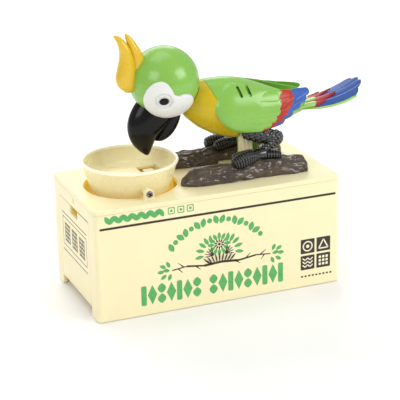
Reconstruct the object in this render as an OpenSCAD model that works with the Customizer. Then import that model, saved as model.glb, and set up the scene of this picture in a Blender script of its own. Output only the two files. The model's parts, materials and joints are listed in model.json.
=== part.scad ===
// Pecking parrot coin bank: a coin box with a rocking bowl and a motor driven bird.
// Origin: bottom centre of the box. +X runs along the box away from the bowl,
// the bird faces -X, +Z is up. All sizes are millimetres.

/* [Box] */
// length of the box along X
box_l = 168; // [150:1:190]
// width of the box along Y
box_w = 86; // [76:1:96]
// height of the box, cover included
box_h = 74; // [74:1:80]
// wall thickness of the box
wall = 2.6; // [2:0.1:3.2]
// thickness of the top cover plate
cover_t = 3; // [2.5:0.1:4]

/* [Bowl] */
// bowl centre along X
bowl_x = -45; // [-48:0.5:-43]
// outer radius of the bowl rim
bowl_r = 31.5; // [30:0.5:33]
// height of the rim above the cover
bowl_up = 17; // [14:0.5:20]
// bowl wall thickness
bowl_t = 1.8; // [1.4:0.1:2.4]

/* [Bird] */
// radius of the head
head_r = 22.5; // [20:0.5:24]
// body shell thickness
shell_t = 2; // [1.5:0.1:2.5]
// hip pivot along X
hip_x = 33; // [33:1:33]
// hip pivot height
hip_z = 101; // [101:1:101]

/* [Gear train] */
// module of the sector and the drive pinion
m1 = 0.8; // [0.8:0.1:0.8]
// teeth of the full circle the sector is cut from
z_sector = 115; // [115:1:115]
// teeth of the full circle the drive pinion is cut from
z_drive = 24; // [24:1:24]
// tooth thinning that gives the running play
play = 0.07; // [0.04:0.01:0.1]

/* [Hidden] */
$fn = 48;
cream = [0.96, 0.92, 0.74];
green = [0.45, 0.75, 0.25];
yellow = [0.86, 0.68, 0.08];
bark = [0.25, 0.19, 0.16];
black = [0.07, 0.07, 0.08];
steel = [0.7, 0.7, 0.72];
lid_z = box_h - cover_t;
hx = box_l / 2;
hy = box_w / 2;
piv_z = box_h + 4;
rim_z = box_h + bowl_up;

// ---------- helpers ----------
module at_y(y0, y1) translate([0, y1, 0]) rotate([90, 0, 0]) linear_extrude(y1 - y0) children();
module rod_y(x, z, y0, y1, r, f = 32) translate([x, y1, z]) rotate([90, 0, 0])
  cylinder(r = r, h = y1 - y0, $fn = f);
module rrect(l, w, r) {
  square([l - 2 * r, w], center = true);
  square([l, w - 2 * r], center = true);
  for (i = [-1, 1], j = [-1, 1]) translate([i * (l / 2 - r), j * (w / 2 - r)]) circle(r);
}
module mir(s) if (s < 0) children(); else mirror([0, 1, 0]) children();
function pol(r, a) = [r * cos(a), r * sin(a)];
function rad(a) = a * PI / 180;
function inv(a) = tan(a) - rad(a);
// half angle of a tooth at radius r, in degrees
function half_ang(m, z, x, r) =
  let (rp = m * z / 2, rb = rp * cos(20), a = r > rb ? acos(rb / r) : 0)
  (((PI * m / 2 + 2 * x * m * tan(20) - play) / (2 * rp)) + inv(20) - inv(a)) * 180 / PI;
function tooth(m, z, x, c) =
  let (rp = m * z / 2, rb = rp * cos(20), rf = rp - m * (1.25 - x), ra = rp + m * (1 + x),
       r0 = max(rb, rf))
  concat(rf < r0 ? [pol(rf, c - half_ang(m, z, x, r0))] : [],
    [for (i = [0:5]) let (r = r0 + (ra - r0) * i / 5) pol(r, c - half_ang(m, z, x, r))],
    [for (i = [5:-1:0]) let (r = r0 + (ra - r0) * i / 5) pol(r, c + half_ang(m, z, x, r))],
    rf < r0 ? [pol(rf, c + half_ang(m, z, x, r0))] : []);
function gear_pts(m, z, x, ph, k0, k1) =
  [for (k = [k0:k1]) each tooth(m, z, x, ph + k * 360 / z)];
module gear2d(m, z, x, ph) polygon(gear_pts(m, z, x, ph, 0, z - 1));

// ---------- gear train places (x, z) ----------
H = [hip_x, hip_z];
rs = m1 * z_sector / 2;
rd = m1 * z_drive / 2;
D = H + [0, -rs - rd];
aDS = -30; S = D + 15 * [cos(aDS), sin(aDS)];
aSF = -10; F = S + 13.8 * [cos(aSF), sin(aSF)];
aFM = 60; M = F + 12.5 * [cos(aFM), sin(aFM)];
fy0 = -6.5; fy1 = -4.5; by0 = 15.8; by1 = 17.8;

// ---------- box ----------
module box_shell() color(cream) difference() {
  linear_extrude(lid_z) rrect(box_l, box_w, 3);
  translate([0, 0, -1]) linear_extrude(lid_z + 2)
    square([box_l - 2 * wall, box_w - 2 * wall], center = true);
  // coin door opening
  translate([-hx - 1, -30, -1]) cube([wall + 2, 60, 64]);
  // door hinge holes and the small hole over the latch
  rod_y(-hx + 1.5, 8.5, -33, 33, 0.8, 24);
  translate([-hx - 1, -1.4, 66.2]) cube([wall + 2, 2.8, 2.8]);
}
module post(x, y) translate([x, y, 8.6]) cylinder(r = 3.4, h = lid_z - 8.6 + 0.5, $fn = 32);
cov_post = [[-77, -35], [-77, 35], [76.5, -35.5], [76.5, 35.5]];
slot_x0 = 13.2; slot_x1 = 44.6;
module top_cover() color(cream) difference() {
  union() {
    translate([0, 0, lid_z]) linear_extrude(cover_t - 1) rrect(box_l, box_w, 3);
    translate([0, 0, box_h - 1]) linear_extrude(1) rrect(box_l - 1.6, box_w - 1.6, 2.4);
    for (p = cov_post) post(p[0], p[1]);
    // lip that locates the cover inside the shell
    translate([0, 0, lid_z - 2]) linear_extrude(2.2) difference() {
      square([box_l - 2 * wall - 0.6, box_w - 2 * wall - 0.6], center = true);
      square([box_l - 2 * wall - 4, box_w - 2 * wall - 4], center = true);
      translate([-3, 0]) square([3.4, 200], center = true);
    }
    // two ears that carry the bowl
    for (s = [-1, 1]) {
      rod_y(bowl_x, piv_z, s < 0 ? -36.2 : 32.6, s < 0 ? -32.6 : 36.2, 3.1);
      translate([bowl_x - 3.1, s < 0 ? -36.2 : 32.6, box_h - 0.5]) cube([6.2, 3.6, 4.5]);
    }
    // spring anchor and switch bracket under the cover
    translate([-80, -4, 57]) cube([2.8, 8, lid_z - 57 + 0.4]);
    translate([-80, -4, 57]) cube([18, 8, 1.6]);
    for (s = [-1, 1]) translate([-12, s * 8 - 1, 52]) cube([7.4, 2, lid_z - 52 + 0.4]);
  }
  translate([bowl_x, 0, lid_z - 3]) cylinder(r = 30.2, h = 20, $fn = 96);
  translate([slot_x0, -4.8, lid_z - 1]) cube([slot_x1 - slot_x0, 9.6, 10]);
  for (p = cov_post) translate([p[0], p[1], 8]) cylinder(r = 1, h = 14, $fn = 24);
  rod_y(bowl_x, piv_z, -40, 40, 1.06, 24);
  for (p = branch_holes) translate([p[0], p[1], lid_z - 1]) cylinder(r = 1.05, h = 10, $fn = 24);
  for (p = bracket_holes) translate([p[0], p[1], lid_z - 1]) cylinder(r = 1.05, h = 10, $fn = 24);
  rod_y(-8, 56, -20, 20, 0.8, 24);
}
branch_holes = [[2, -19.5], [60, -19.5], [2, 19.5], [60, 19.5]];
bracket_holes = [[26, -11], [26, 11], [49, -7], [49, 7]];

rail_x0 = -20; rail_x1 = 72;
module base_plate() color(cream) difference() {
  union() {
    translate([0, 0, 6]) linear_extrude(2.5)
      square([box_l - 2 * wall - 0.4, box_w - 2 * wall - 0.4], center = true);
    // rails that carry the battery door
    for (y = [[-39.8, -38.4], [-6.2, -4.8]])
      translate([rail_x0, y[0], 2.4]) cube([rail_x1 - rail_x0, y[1] - y[0], 3.7]);
    translate([rail_x0, -39.8, 2.4]) cube([rail_x1 - rail_x0, 3, 1.2]);
    translate([rail_x0, -7.8, 2.4]) cube([rail_x1 - rail_x0, 3, 1.2]);
  }
  translate([-hx, -30.4, 5]) cube([6.5, 60.8, 5]);
  translate([13.4, -36.4, 5]) cube([55, 28.2, 5]);
  for (p = cov_post) translate([p[0], p[1], 5]) cylinder(r = 1.1, h = 5, $fn = 24);
}
module partition() color(cream) translate([-4, -hy + wall + 0.2, 8.6]) difference() {
  cube([2, box_w - 2 * wall - 0.4, lid_z - 8.8]);
  translate([-1, 20, 40]) cube([4, 4, 4]);
}
module coin_door() color(cream) {
  difference() {
    union() {
      translate([-hx, -29.7, 6.6]) cube([2.2, 59.4, 56.2]);
      translate([-hx + 2.1, -20, 52]) cube([0.9, 40, 4]);
      rod_y(-hx + 1.5, 8.5, -31.4, 31.4, 0.72, 24);
      rod_y(-hx + 1.5, 8.5, -29.7, 29.7, 1.5, 24);
    }
    translate([-hx - 1, -7.5, 57]) cube([5, 15, 8]);
  }
}
module base_screws() color(steel) for (p = cov_post) translate([p[0], p[1], 0]) difference() {
  union() {
    translate([0, 0, 4.3]) cylinder(r = 2.2, h = 1.7, $fn = 32);
    translate([0, 0, 5.9]) cylinder(r = 1, h = 13, $fn = 24);
  }
  translate([-0.35, -1.4, 4]) cube([0.7, 2.8, 1.2]);
  translate([-1.4, -0.35, 4]) cube([2.8, 0.7, 1.2]);
}

// ---------- batteries ----------
module battery_tray() color(cream) difference() {
  translate([11.6, -37.9, 8.6]) cube([58.6, 31.2, 17.6]);
  translate([13, -36.6, 7]) cube([55.8, 28.6, 17.8]);
  for (y = [-29.5, -15.2]) translate([40, y - 2, 20]) cube([12, 4, 8]);
}
module batteries() for (y = [[-29.45, 1], [-15.15, -1]]) translate([41, y[0], 16.2])
  rotate([0, 90 * y[1], 0]) {
  color([0.15, 0.3, 0.2]) translate([0, 0, -25]) cylinder(r = 7, h = 49, $fn = 48);
  color(steel) translate([0, 0, 23.9]) cylinder(r = 2.6, h = 1.2, $fn = 32);
}
module battery_contacts() color(steel) {
  for (y = [-29.45, -15.15]) {
    translate([13.1, y - 5, 10]) cube([0.5, 10, 12]);
    translate([68.2, y - 5, 10]) cube([0.5, 10, 12]);
    s = y < -20 ? -1 : 1;
    // coil spring on the flat end of each cell
    translate([s < 0 ? 13.6 : 66.1, y, 16.2]) rotate([0, 90, 0])
      rotate_extrude($fn = 40) translate([3.2, 1.05]) circle(r = 0.9, $fn = 16);
  }
  translate([13.1, -24.6, 11]) cube([0.5, 4.6, 3]);
}
module battery_door() color(cream) difference() {
  union() {
    translate([11, -38.1, 4]) cube([60.5, 31.6, 1.7]);
    for (i = [0:4]) translate([60 + i * 2, -30, 3.3]) cube([0.9, 15, 0.8]);
  }
  translate([11, -26, 3]) cube([0.9, 8, 4]);
}

// ---------- bowl ----------
module bowl() color(cream) difference() {
  union() {
    translate([bowl_x, 0, 0]) difference() {
      union() {
        translate([0, 0, 71.6]) cylinder(r1 = 25.6, r2 = bowl_r - 0.5,
          h = rim_z - 71.6 - 0.8, $fn = 96);
        translate([0, 0, rim_z - 1.7]) rotate_extrude($fn = 96)
          translate([bowl_r - 1.1, 0.5]) circle(r = 1.15, $fn = 24);
        for (s = [-1, 1]) rod_y(0, piv_z, s < 0 ? -32.4 : 26, s < 0 ? -26 : 32.4, 2.4);
      }
      translate([0, 0, 80]) cylinder(r1 = 28.1 - bowl_t, r2 = bowl_r - 0.4 - bowl_t,
        h = rim_z - 80 + 0.01, $fn = 96);
      translate([0, 0, rim_z - 0.02]) cylinder(r = bowl_r - 1.1, h = 3, $fn = 96);
      translate([0, 0, 71]) cylinder(r1 = 23.9, r2 = 26, h = 7.4, $fn = 96);
      // slot the coin drops through, above the trip lever
      translate([8, -12, 76]) cube([14, 24, 8]);
      for (s = [-1, 1]) rod_y(0, piv_z, s < 0 ? -34 : 26.5, s < 0 ? -26.5 : 34, 1, 24);
    }
  }
  // slanted relief that lets the bird side dip into the box
  translate([bowl_x + 17, -40, 62]) rotate([0, -38, 0]) translate([0, 0, -20]) cube([40, 80, 24]);
}
module pivot_screws() for (s = [-1, 1]) color([0.35, 0.3, 0.28]) mir(s) difference() {
  union() {
    rod_y(bowl_x, piv_z, -37.6, -36.3, 2.1);
    rod_y(bowl_x, piv_z, -36.4, -27.2, 1, 24);
  }
  translate([bowl_x - 0.35, -38, piv_z - 1.4]) cube([0.7, 1.2, 2.8]);
  translate([bowl_x - 1.4, -38, piv_z - 0.35]) cube([2.8, 1.2, 0.7]);
}
function hel(r, p, n, i, st) = [r * cos(i * 360 / st), r * sin(i * 360 / st), p * i / st];
// round wire wound as a coil, standing on z = 0
module coil(r, wire, len, turns, st = 14, q = 8) {
  n = turns * st;
  p = (len - 2 * wire) / turns;
  pts = [for (i = [0:n]) for (k = [0:q - 1]) let (a = i * 360 / st, b = k * 360 / q)
    [(r + wire * cos(b)) * cos(a), (r + wire * cos(b)) * sin(a), wire + p * i / st
      + wire * sin(b)]];
  side = [for (i = [0:n - 1]) for (k = [0:q - 1]) let (k2 = (k + 1) % q)
    [i * q + k, i * q + k2, (i + 1) * q + k2, (i + 1) * q + k]];
  polyhedron(pts, concat(side, [[for (k = [q - 1:-1:0]) k]], [[for (k = [0:q - 1]) n * q + k]]));
}
module bowl_spring() color(steel) translate([-66, 0, 58.65]) coil(2.2, 0.35, 19.7, 9);
// ---------- coin switch ----------
module trip_lever() color(cream) difference() {
  union() {
    translate([-34, -6.8, 78.6]) cube([6.6, 13.6, 1.2]);
    translate([-32, -1.5, 56]) cube([2.6, 3, 22.7]);
    translate([-32, -2, 54.5]) cube([24, 4, 3]);
    rod_y(-8, 56, -6.6, 6.6, 2.6);
  }
  rod_y(-8, 56, -20, 20, 0.86, 24);
}
// the springy leaf lies just under the lever and lifts it back
module leaf_switch() {
  color([0.2, 0.2, 0.22]) translate([-11, -6, 40]) cube([6.8, 12, 6]);
  color([0.8, 0.6, 0.3]) {
    translate([-10, -2, 46]) cube([0.4, 4, 7.4]);
    translate([-22, -2, 53]) cube([12.4, 4, 0.4]);
    translate([-6, -2, 46]) cube([0.4, 4, 2.4]);
  }
  color(steel) rod_y(-8, 56, -9.4, 9.4, 0.8, 24);
}

// ---------- gearbox and motor ----------
module frame_outline() union() {
  translate([24.5, 8.6]) square([50.5, 47]);
  translate(M) circle(r = 12.6, $fn = 64);
}
fr_posts = [[27.5, 15], [71.5, 15], [27.5, 30.5], [72.2, 30.2]];
module gear_frame() color([0.93, 0.9, 0.82]) difference() {
  union() {
    at_y(fy0, fy1) frame_outline();
    translate([24.5, fy0, 8.6]) cube([50.5, by0 - fy0 - 0.02, 2]);
    for (p = fr_posts) rod_y(p[0], p[1], fy1 - 0.2, by0 - 0.02, 2.6);
    rod_y(M[0], M[1], -14, fy0 + 0.2, 11.8, 64);
  }
  rod_y(M[0], M[1], -15, 0, 10.02, 64);
  for (c = [D, S, F]) rod_y(c[0], c[1], -8, 0, 1, 24);
  for (p = fr_posts) rod_y(p[0], p[1], 5, 17, 0.8, 24);
}
module gear_plate() color([0.93, 0.9, 0.82]) difference() {
  at_y(by0, by1) difference() {
    translate([24.5, 8.6]) square([50.5, 47]);
    for (c = [D, S, F]) translate(c) circle(r = 1, $fn = 24);
    for (p = fr_posts) translate(p) circle(r = 1, $fn = 24);
    translate(M) circle(r = 1.4, $fn = 24);
  }
}
module gear_screws() color(steel) for (p = fr_posts) difference() {
  union() {
    rod_y(p[0], p[1], by1, by1 + 1.3, 1.9, 24);
    rod_y(p[0], p[1], by1 - 8, by1 + 0.1, 0.8, 24);
  }
  translate([p[0] - 1.2, by1 + 0.7, p[1] - 0.3]) cube([2.4, 1, 0.6]);
}
module axles() color(steel) for (c = [D, S, F]) rod_y(c[0], c[1], fy0, by1, 1, 24);
module motor() color(steel) difference() {
  union() {
    rod_y(M[0], M[1], -18, 7.5, 10, 64);
    rod_y(M[0], M[1], 7.4, 9, 3, 32);
    rod_y(M[0], M[1], -20, -17.9, 3.5, 32);
    for (a = [-1, 1]) translate([M[0] - 1.2 + a * 6, -21, M[1] - 0.3]) cube([2.4, 3.2, 0.6]);
  }
  rod_y(M[0], M[1], -10, 10, 1.06, 24);
}
module motor_pinion() color([0.9, 0.88, 0.8]) {
  rod_y(M[0], M[1], -9, 12.3, 1, 24);
  at_y(12.2, 14.7) translate(M) gear2d(0.5, 10, 0.42, aFM + 180 - 18);
}
module bored(c) difference() { children(); rod_y(c[0], c[1], -8, 19, 1.06, 24); }
module first_gear() color([0.94, 0.93, 0.88]) bored(F) {
  at_y(12.5, 14.5) translate(F) gear2d(0.5, 40, -0.42, aFM);
  at_y(8.8, 11.7) translate(F) gear2d(0.6, 10, 0.42, aSF + 180 - 18);
  rod_y(F[0], F[1], 11.6, 12.6, 2.2);
  rod_y(F[0], F[1], fy1 + 0.25, 8.9, 1.75);
  rod_y(F[0], F[1], 14.4, by0 - 0.25, 2.2);
}
module second_gear() color([0.88, 0.3, 0.25]) bored(S) {
  at_y(9, 11.5) translate(S) gear2d(0.6, 36, -0.42, aSF);
  at_y(4.8, 8.2) translate(S) gear2d(0.6, 10, 0.42, aDS + 180 - 18);
  rod_y(S[0], S[1], 8.1, 9.1, 2.4);
  rod_y(S[0], S[1], fy1 + 0.25, 4.9, 1.9);
  rod_y(S[0], S[1], 11.4, by0 - 0.25, 2.4);
}
// only 13 of the 24 teeth are cut, so that the bird falls back after each lift
module drive_gear() color([0.94, 0.93, 0.88]) bored(D) {
  at_y(-0.2, 3.8) translate(D) union() {
    circle(r = rd - 1.25 * m1, $fn = 96);
    polygon(concat([[0, 0]], gear_pts(m1, z_drive, 0, 82.5, -9, 3)));
  }
  rod_y(D[0], D[1], 3.7, 5.1, 5);
  at_y(5, 8) translate(D) gear2d(0.6, 40, -0.42, aDS);
  rod_y(D[0], D[1], fy1 + 0.25, -0.1, 2.5);
  rod_y(D[0], D[1], 7.9, by0 - 0.25, 2.6);
}
module drive_sector() color([0.35, 0.62, 0.3]) difference() {
  at_y(0.02, 3.5) translate(H) union() {
    polygon(concat(gear_pts(m1, z_sector, 0, -90, -4, 11),
      [for (a = [-54.2:-3.1:-104]) pol(42.7, a)]));
    polygon(concat([for (a = [-92:3:-68]) pol(44, a)], [for (a = [-68:-3:-92]) pol(35, a)]));
  }
  for (a = [-86, -74]) rod_y(H[0] + 39 * cos(a), H[1] + 39 * sin(a), -1, 5, 1, 24);
}
module body_lever() color(green) difference() {
  union() {
    at_y(-3.5, 0) translate(H) union() {
      rotate(-86) translate([0, -3.6]) square([40, 7.2]);
      // web that stiffens it above the cover
      rotate(-86) polygon([[7, 0], [7.6, 8.6], [17, 9.4], [22, 3], [22, 0]]);
      polygon(concat([for (a = [-92:3:-68]) pol(43.5, a)], [for (a = [-68:-3:-92]) pol(35, a)]));
      rotate(75) translate([0, -4]) square([19, 8]);
      rotate(130) translate([0, -3]) square([17, 6]);
    }
    rod_y(H[0], H[1], -4.3, 4.3, 5);
    for (p = lever_bosses) rod_y(p[0], p[1], -12, 12, 2.6);
  }
  rod_y(H[0], H[1], -6, 6, 1.56, 32);
  for (p = lever_bosses) rod_y(p[0], p[1], -13, 13, 0.8, 24);
  for (a = [-86, -74]) rod_y(H[0] + 39 * cos(a), H[1] + 39 * sin(a), -5, 1, 0.8, 24);
}
lever_bosses = [[H[0] + 18 * cos(75), H[1] + 18 * sin(75)],
  [H[0] + 17 * cos(130), H[1] + 17 * sin(130)]];
module sector_screws() color(steel) for (a = [-86, -74])
  let (x = H[0] + 39 * cos(a), z = H[1] + 39 * sin(a)) {
    rod_y(x, z, 3.5, 4.5, 1.9, 24);
    rod_y(x, z, -3, 3.6, 0.8, 24);
  }

// ---------- bracket, branches, legs ----------
module hip_bracket() color(cream) difference() {
  union() {
    for (y = [-9, 5]) rod_y(hip_x, hip_z, y, y + 4, 4.3);
    // near arm, with ribs down its outer face
    translate([28.8, -9, 75.5]) cube([8.6, 4, 25.5]);
    for (i = [0:2]) translate([30 + i * 2.7, -9.5, 76]) cube([1, 0.7, 21]);
    // far arm, cranked towards the tail
    at_y(5, 9) polygon([[28.8, 101], [28.8, 97.5], [34.6, 93.6], [40, 84], [40, 75.5],
      [48.6, 75.5], [48.6, 82], [42, 90.5], [37.4, 95.5], [37.4, 101]]);
    translate([22, -14, box_h]) cube([32, 28, 1.8]);
    translate([45.2, -7.5, box_h]) cube([1.8, 3, 8]);
  }
  translate([slot_x0, -4.8, box_h - 1]) cube([slot_x1 - slot_x0, 9.6, 4]);
  rod_y(hip_x, hip_z, -12, 12, 1.5, 32);
  for (p = bracket_holes) translate([p[0], p[1], box_h - 1]) cylinder(r = 0.8, h = 4, $fn = 24);
}
module hip_pin() color(steel) rod_y(hip_x, hip_z, -15.5, 15.5, 1.5, 32);
module bracket_screws() color(steel) for (p = bracket_holes) translate([p[0], p[1], 0]) {
  translate([0, 0, lid_z - 1.2]) cylinder(r = 1.9, h = 1.2, $fn = 24);
  translate([0, 0, lid_z - 0.1]) cylinder(r = 0.8, h = 4.4, $fn = 24);
}
module ball(x, y, z, r, f = 28) translate([x, y, z]) sphere(r = r, $fn = f);
module log_body(g = 0) {
  hull() { ball(-8.4, -19.5, 75.5, 5.6 + g); ball(20, -19.6, 76.4, 8.2 + g); }
  hull() { ball(20, -19.6, 76.4, 8.2 + g); ball(46, -18.8, 77, 8 + g); }
  hull() { ball(46, -18.8, 77, 8 + g); ball(63.5, -20.6, 75.4, 7 + g); }
}
module branch() color(bark) difference() {
  log_body();
  translate([-40, -40, 40]) cube([140, 40, box_h - 40 + 0.01]);
  // keeps clear of the bracket flange
  translate([22, -14.1, 70]) cube([32, 15, 6]);
  for (p = [[2, -19.5], [60, -19.5]]) translate([p[0], p[1], 70]) cylinder(r = 1, h = 9.5, $fn = 24);
}
module branch_screws() color(steel) for (p = branch_holes) translate([p[0], p[1], 0]) {
  translate([0, 0, lid_z - 1.3]) cylinder(r = 2.1, h = 1.3, $fn = 24);
  translate([0, 0, lid_z - 0.1]) cylinder(r = 1, h = 7.5, $fn = 24);
}
module toe(points) {
  for (i = [0:len(points) - 2]) hull() for (p = [points[i], points[i + 1]]) ball(p[0], p[1], p[2], p[3], 24);
}
module foot() color(black) difference() {
  union() {
    toe([[36, -19.3, 86.6, 3.4], [28, -22.2, 86, 3.9], [18.6, -23.4, 85.3, 3.6]]);
    toe([[36, -17, 86.6, 3.3], [28, -15.6, 85.8, 3.2], [20.6, -15.3, 84.4, 2.9]]);
    toe([[38, -18.2, 86.6, 3.5], [50.4, -19, 85, 2.6]]);
    // boss on the instep
    translate([31.4, -17, 86]) cylinder(r = 2.9, h = 3.4, $fn = 32);
  }
  translate([31.4, -17, 88.2]) cylinder(r = 1.4, h = 3, $fn = 24);
  log_body(0.03);
  rod_y(40, 88.2, -30, -8, 0.9, 24);
  // seat of the shank
  at_y(-19.6, -12) translate([40, 88.2]) union() {
    circle(r = 3.3, $fn = 32);
    rotate(32.5) translate([0, -3.3]) square([16, 6.6]);
  }
}
module shank() color(black) difference() {
  hull() {
    rod_y(40, 88.2, -19.4, -16.4, 2.9);
    rod_y(51.6, 95.6, -15.6, -12.4, 3);
  }
  rod_y(40, 88.2, -30, -8, 0.8, 24);
  rod_y(51.6, 95.6, -20, -8, 0.8, 24);
}
module thigh() color(black) difference() {
  translate([0, -13, 0]) scale([1, 0.6, 1]) hull() {
    ball(hip_x, 0, hip_z, 5.7);
    ball(51.6, 0, 95.6, 5.3);
  }
  rod_y(hip_x, hip_z, -15.5, -5, 1.5, 32);
  // fork that takes the shank
  at_y(-18, -12.2) translate([51.6, 95.6]) circle(r = 3.4, $fn = 32);
  at_y(-19.6, -12.2) translate([51.6, 95.6]) rotate(212) translate([0, -3.4]) square([14, 6.8]);
  rod_y(51.6, 95.6, -20, -8, 0.8, 24);
}
module leg_pins() color(steel) for (s = [-1, 1]) mir(s) {
  rod_y(51.6, 95.6, -16.4, -11.4, 0.8, 24);
  rod_y(40, 88.2, -20.5, -15.4, 0.8, 24);
}

// ---------- bird body ----------
body_c = [[5, 122.3, 14.3], [12, 120, 17.2], [20, 117.8, 19.3], [28, 115.8, 19.8],
  [38, 114.2, 17.6], [50, 113, 13.6], [62, 112.4, 9.6], [73, 112.2, 6]];
module body_hull(g) scale([1, 0.88, 1]) hull()
  for (b = body_c) translate([b[0], 0, b[1]]) sphere(r = b[2] + g, $fn = 36);
wing_c = [[22, 114, 23.6], [36, 113.6, 23.8], [50, 114, 21.6], [64, 116, 15.4], [76, 119.5, 8.6]];
module wing_hull(g) scale([1, 0.875, 1]) hull()
  for (b = wing_c) translate([b[0], 0, b[1]]) sphere(r = b[2] + g, $fn = 36);
module head_ball(g = 0, f = 72) translate([-19.8, 0, 139.2]) sphere(r = head_r + g, $fn = f);
seam = [[5.5, 150], [6.5, 138], [9, 130], [16, 118], [24, 111], [29, 106.5], [31, 100], [31, 60]];
module turn(a) translate([hip_x, 0, hip_z]) rotate([0, -a, 0]) translate([-hip_x, 0, -hip_z]) children();
// room the cheeks and thighs need while the body tilts
module leg_room() {
  for (s = [-1, 1]) mir(s) {
    rod_y(hip_x, hip_z, -24, -4.7, 7);
    at_y(-10, -4.7) hull() for (a = [-8, 7, 22]) translate(H) rotate(a)
      translate([-5, -30]) square([10, 30]);
    thigh_room(-24, 0.9);
  }
}
module thigh_room(y0, g) at_y(y0, -9.2) hull() for (a = [-8, 7, 22]) translate(H) rotate(a) {
  circle(r = 5.7 + g, $fn = 32);
  translate([18.6, -5.4]) circle(r = 5.3 + g, $fn = 32);
}
module tail_slab(g) at_y(-20, 20) polygon(concat(
  [for (p = tail_c) [p[0] - g, p[1] + 1.3 + g]],
  [for (i = [len(tail_c) - 1:-1:0]) [tail_c[i][0] + g, tail_c[i][1] - 1.3 - g]]));
tail_c = [[64, 109.6], [75, 110.6], [88, 112.4], [100, 114.8], [110, 118], [122, 123.6]];
module tail_plan(g) linear_extrude(200) polygon([[64, -4 - g], [74, -5.5 - g], [80, -8.5 - g],
  [88, -12 - g], [100, -13.6 - g], [113, -13.8], [117, -12], [116, -8.5], [119.5, -7.5],
  [120, -4.5], [118.5, -2.8], [121, -2], [122, 0], [121, 2], [118.5, 2.8], [120, 4.5],
  [119.5, 7.5], [116, 8.5], [117, 12], [113, 13.8], [100, 13.6 + g], [88, 12 + g],
  [80, 8.5 + g], [74, 5.5 + g], [64, 4 + g]]);
module tail(g = 0) color(green) intersection() { tail_slab(g); tail_plan(g); }
module body_cavity() difference() {
  body_hull(-shell_t);
  for (p = lever_bosses) rod_y(p[0], p[1], -30, 30, 3.4, 24);
}
module body_piece() difference() {
  body_hull(0);
  body_cavity();
  leg_room();
  // open belly under the lever
  at_y(-4.8, 4.8) translate(H) hull() { circle(r = 6.4); translate([-5.6, -12]) square([11.2, 12]); }
  head_ball(0.4, 48);
  neck_rod(6.03);
  tail(0.03);
  for (p = lever_bosses) { rod_y(p[0], p[1], -12.02, 12.02, 4, 24);
    rod_y(p[0], p[1], -30, 30, 1.05, 24);
    for (s = [-1, 1]) mir(s) rod_y(p[0], p[1], -30, -14, 2.4, 24); }
}
module front_side() at_y(-40, 40) polygon(concat(seam, [[-60, 60], [-60, 150]]));
module chest_shell() color(yellow) intersection() { body_piece(); front_side(); }
module back_shell() color(green) difference() { body_piece(); front_side(); }
module body_screws() color(steel) for (p = lever_bosses, s = [-1, 1]) mir(s) {
  rod_y(p[0], p[1], -15.2, -14.02, 1.9, 24);
  rod_y(p[0], p[1], -14.1, -6, 0.8, 24);
}
module wing() color(green) difference() {
  intersection() {
    wing_hull(0);
    at_y(-30, -3) polygon([[8.2, 122], [9.6, 127], [13, 131], [18, 134.2], [23, 134.8], [36, 132],
      [52, 128.4], [64, 126], [74, 124.8], [79.5, 123.8], [79.2, 120.4], [75.5, 116], [69, 112.6],
      [62, 109.6], [54, 107], [46, 104.2], [38, 102.8], [30, 102.6], [23, 104.2], [16.5, 107.6],
      [11.5, 113], [8.8, 118]]);
  }
  wing_hull(-2.2);
  body_hull(0.05);
  tail(0.2);
  thigh_room(-16.8, 0.3);
  // two slanted vents near the top edge
  for (x = [25.8, 32.1]) at_y(-30, -3) translate([x, 129.8]) rotate(-77)
    square([5.6, 0.9], center = true);
}
module neck_dir() translate([-19.8, 0, 139.2]) rotate([0, 121.1, 0]) children();
module neck_rod(r) neck_dir() translate([0, 0, 10]) cylinder(r = r, h = 26, $fn = 48);
module neck() color(green) difference() {
  neck_dir() union() {
    translate([0, 0, 16]) cylinder(r = 6, h = 19, $fn = 48);
    translate([0, 0, 34]) cylinder(r = 8, h = 2, $fn = 48);
    translate([0, 0, 15]) cylinder(r = 8, h = 2, $fn = 48);
  }
  neck_dir() translate([0, 0, 10]) cylinder(r = 2, h = 30, $fn = 24);
}
module head_half() difference() {
  intersection() { head_ball(); at_y(-40, 0) translate([-60, 90]) square([90, 90]); }
  head_ball(-shell_t);
  neck_rod(6.03);
}
module near_head() color(green) head_half();
module far_head() color(green) mirror([0, 1, 0]) head_half();
crest_pts = [[-53, 171.2], [-51, 172.2], [-48, 170.4], [-45.6, 166.6], [-44.6, 167.4], [-45.4, 170.6],
  [-44.6, 172.8], [-42.4, 171], [-38, 164.4], [-33.6, 157], [-30, 148], [-36, 138], [-42.4, 134.4],
  [-47, 135.4], [-50.6, 138.4], [-52, 143.6], [-51.4, 151], [-49.6, 158.6], [-49, 163.4], [-50.6, 168]];
module crest() color(yellow) difference() {
  at_y(-6, 6) polygon(crest_pts);
  head_ball(0.02);
}
eye_out = [[-8, 5.6], [-12.6, 5.4], [-16.4, 2.2], [-18.6, -2.8], [-19.2, -8.4], [-18, -14], [-15, -19],
  [-10, -24], [10, -24], [14, -17.6], [14.8, -12.6], [12.8, -7.4], [9, -4.4], [4.4, -4], [0.6, -5.6],
  [-1.8, -3.6], [-3, 0.6], [-5, 4]];
module patch() color([0.95, 0.95, 0.93]) difference() {
  intersection() {
    head_ball(1.5);
    at_y(-40, -7) translate([-19.8, 139.2]) polygon(eye_out);
  }
  head_ball(0.02);
  beak_up(0.03);
  beak_low(0.03);
  body_hull(0.05);
  eye_rod(2.9);
}
module eye_dir(h) translate([-19.8, 0, 139.2]) rotate([0, 0, -111.3])
  rotate([0, 109.6, 0]) translate([0, 0, h]) children();
module eye_rod(r, h = 10) eye_dir(22.6) cylinder(r = r, h = h, $fn = 32);
module eyes() color(black) for (s = [-1, 1]) mir(s) eye_dir(22.62) cylinder(r = 2.88, h = 1.7, $fn = 32);
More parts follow.
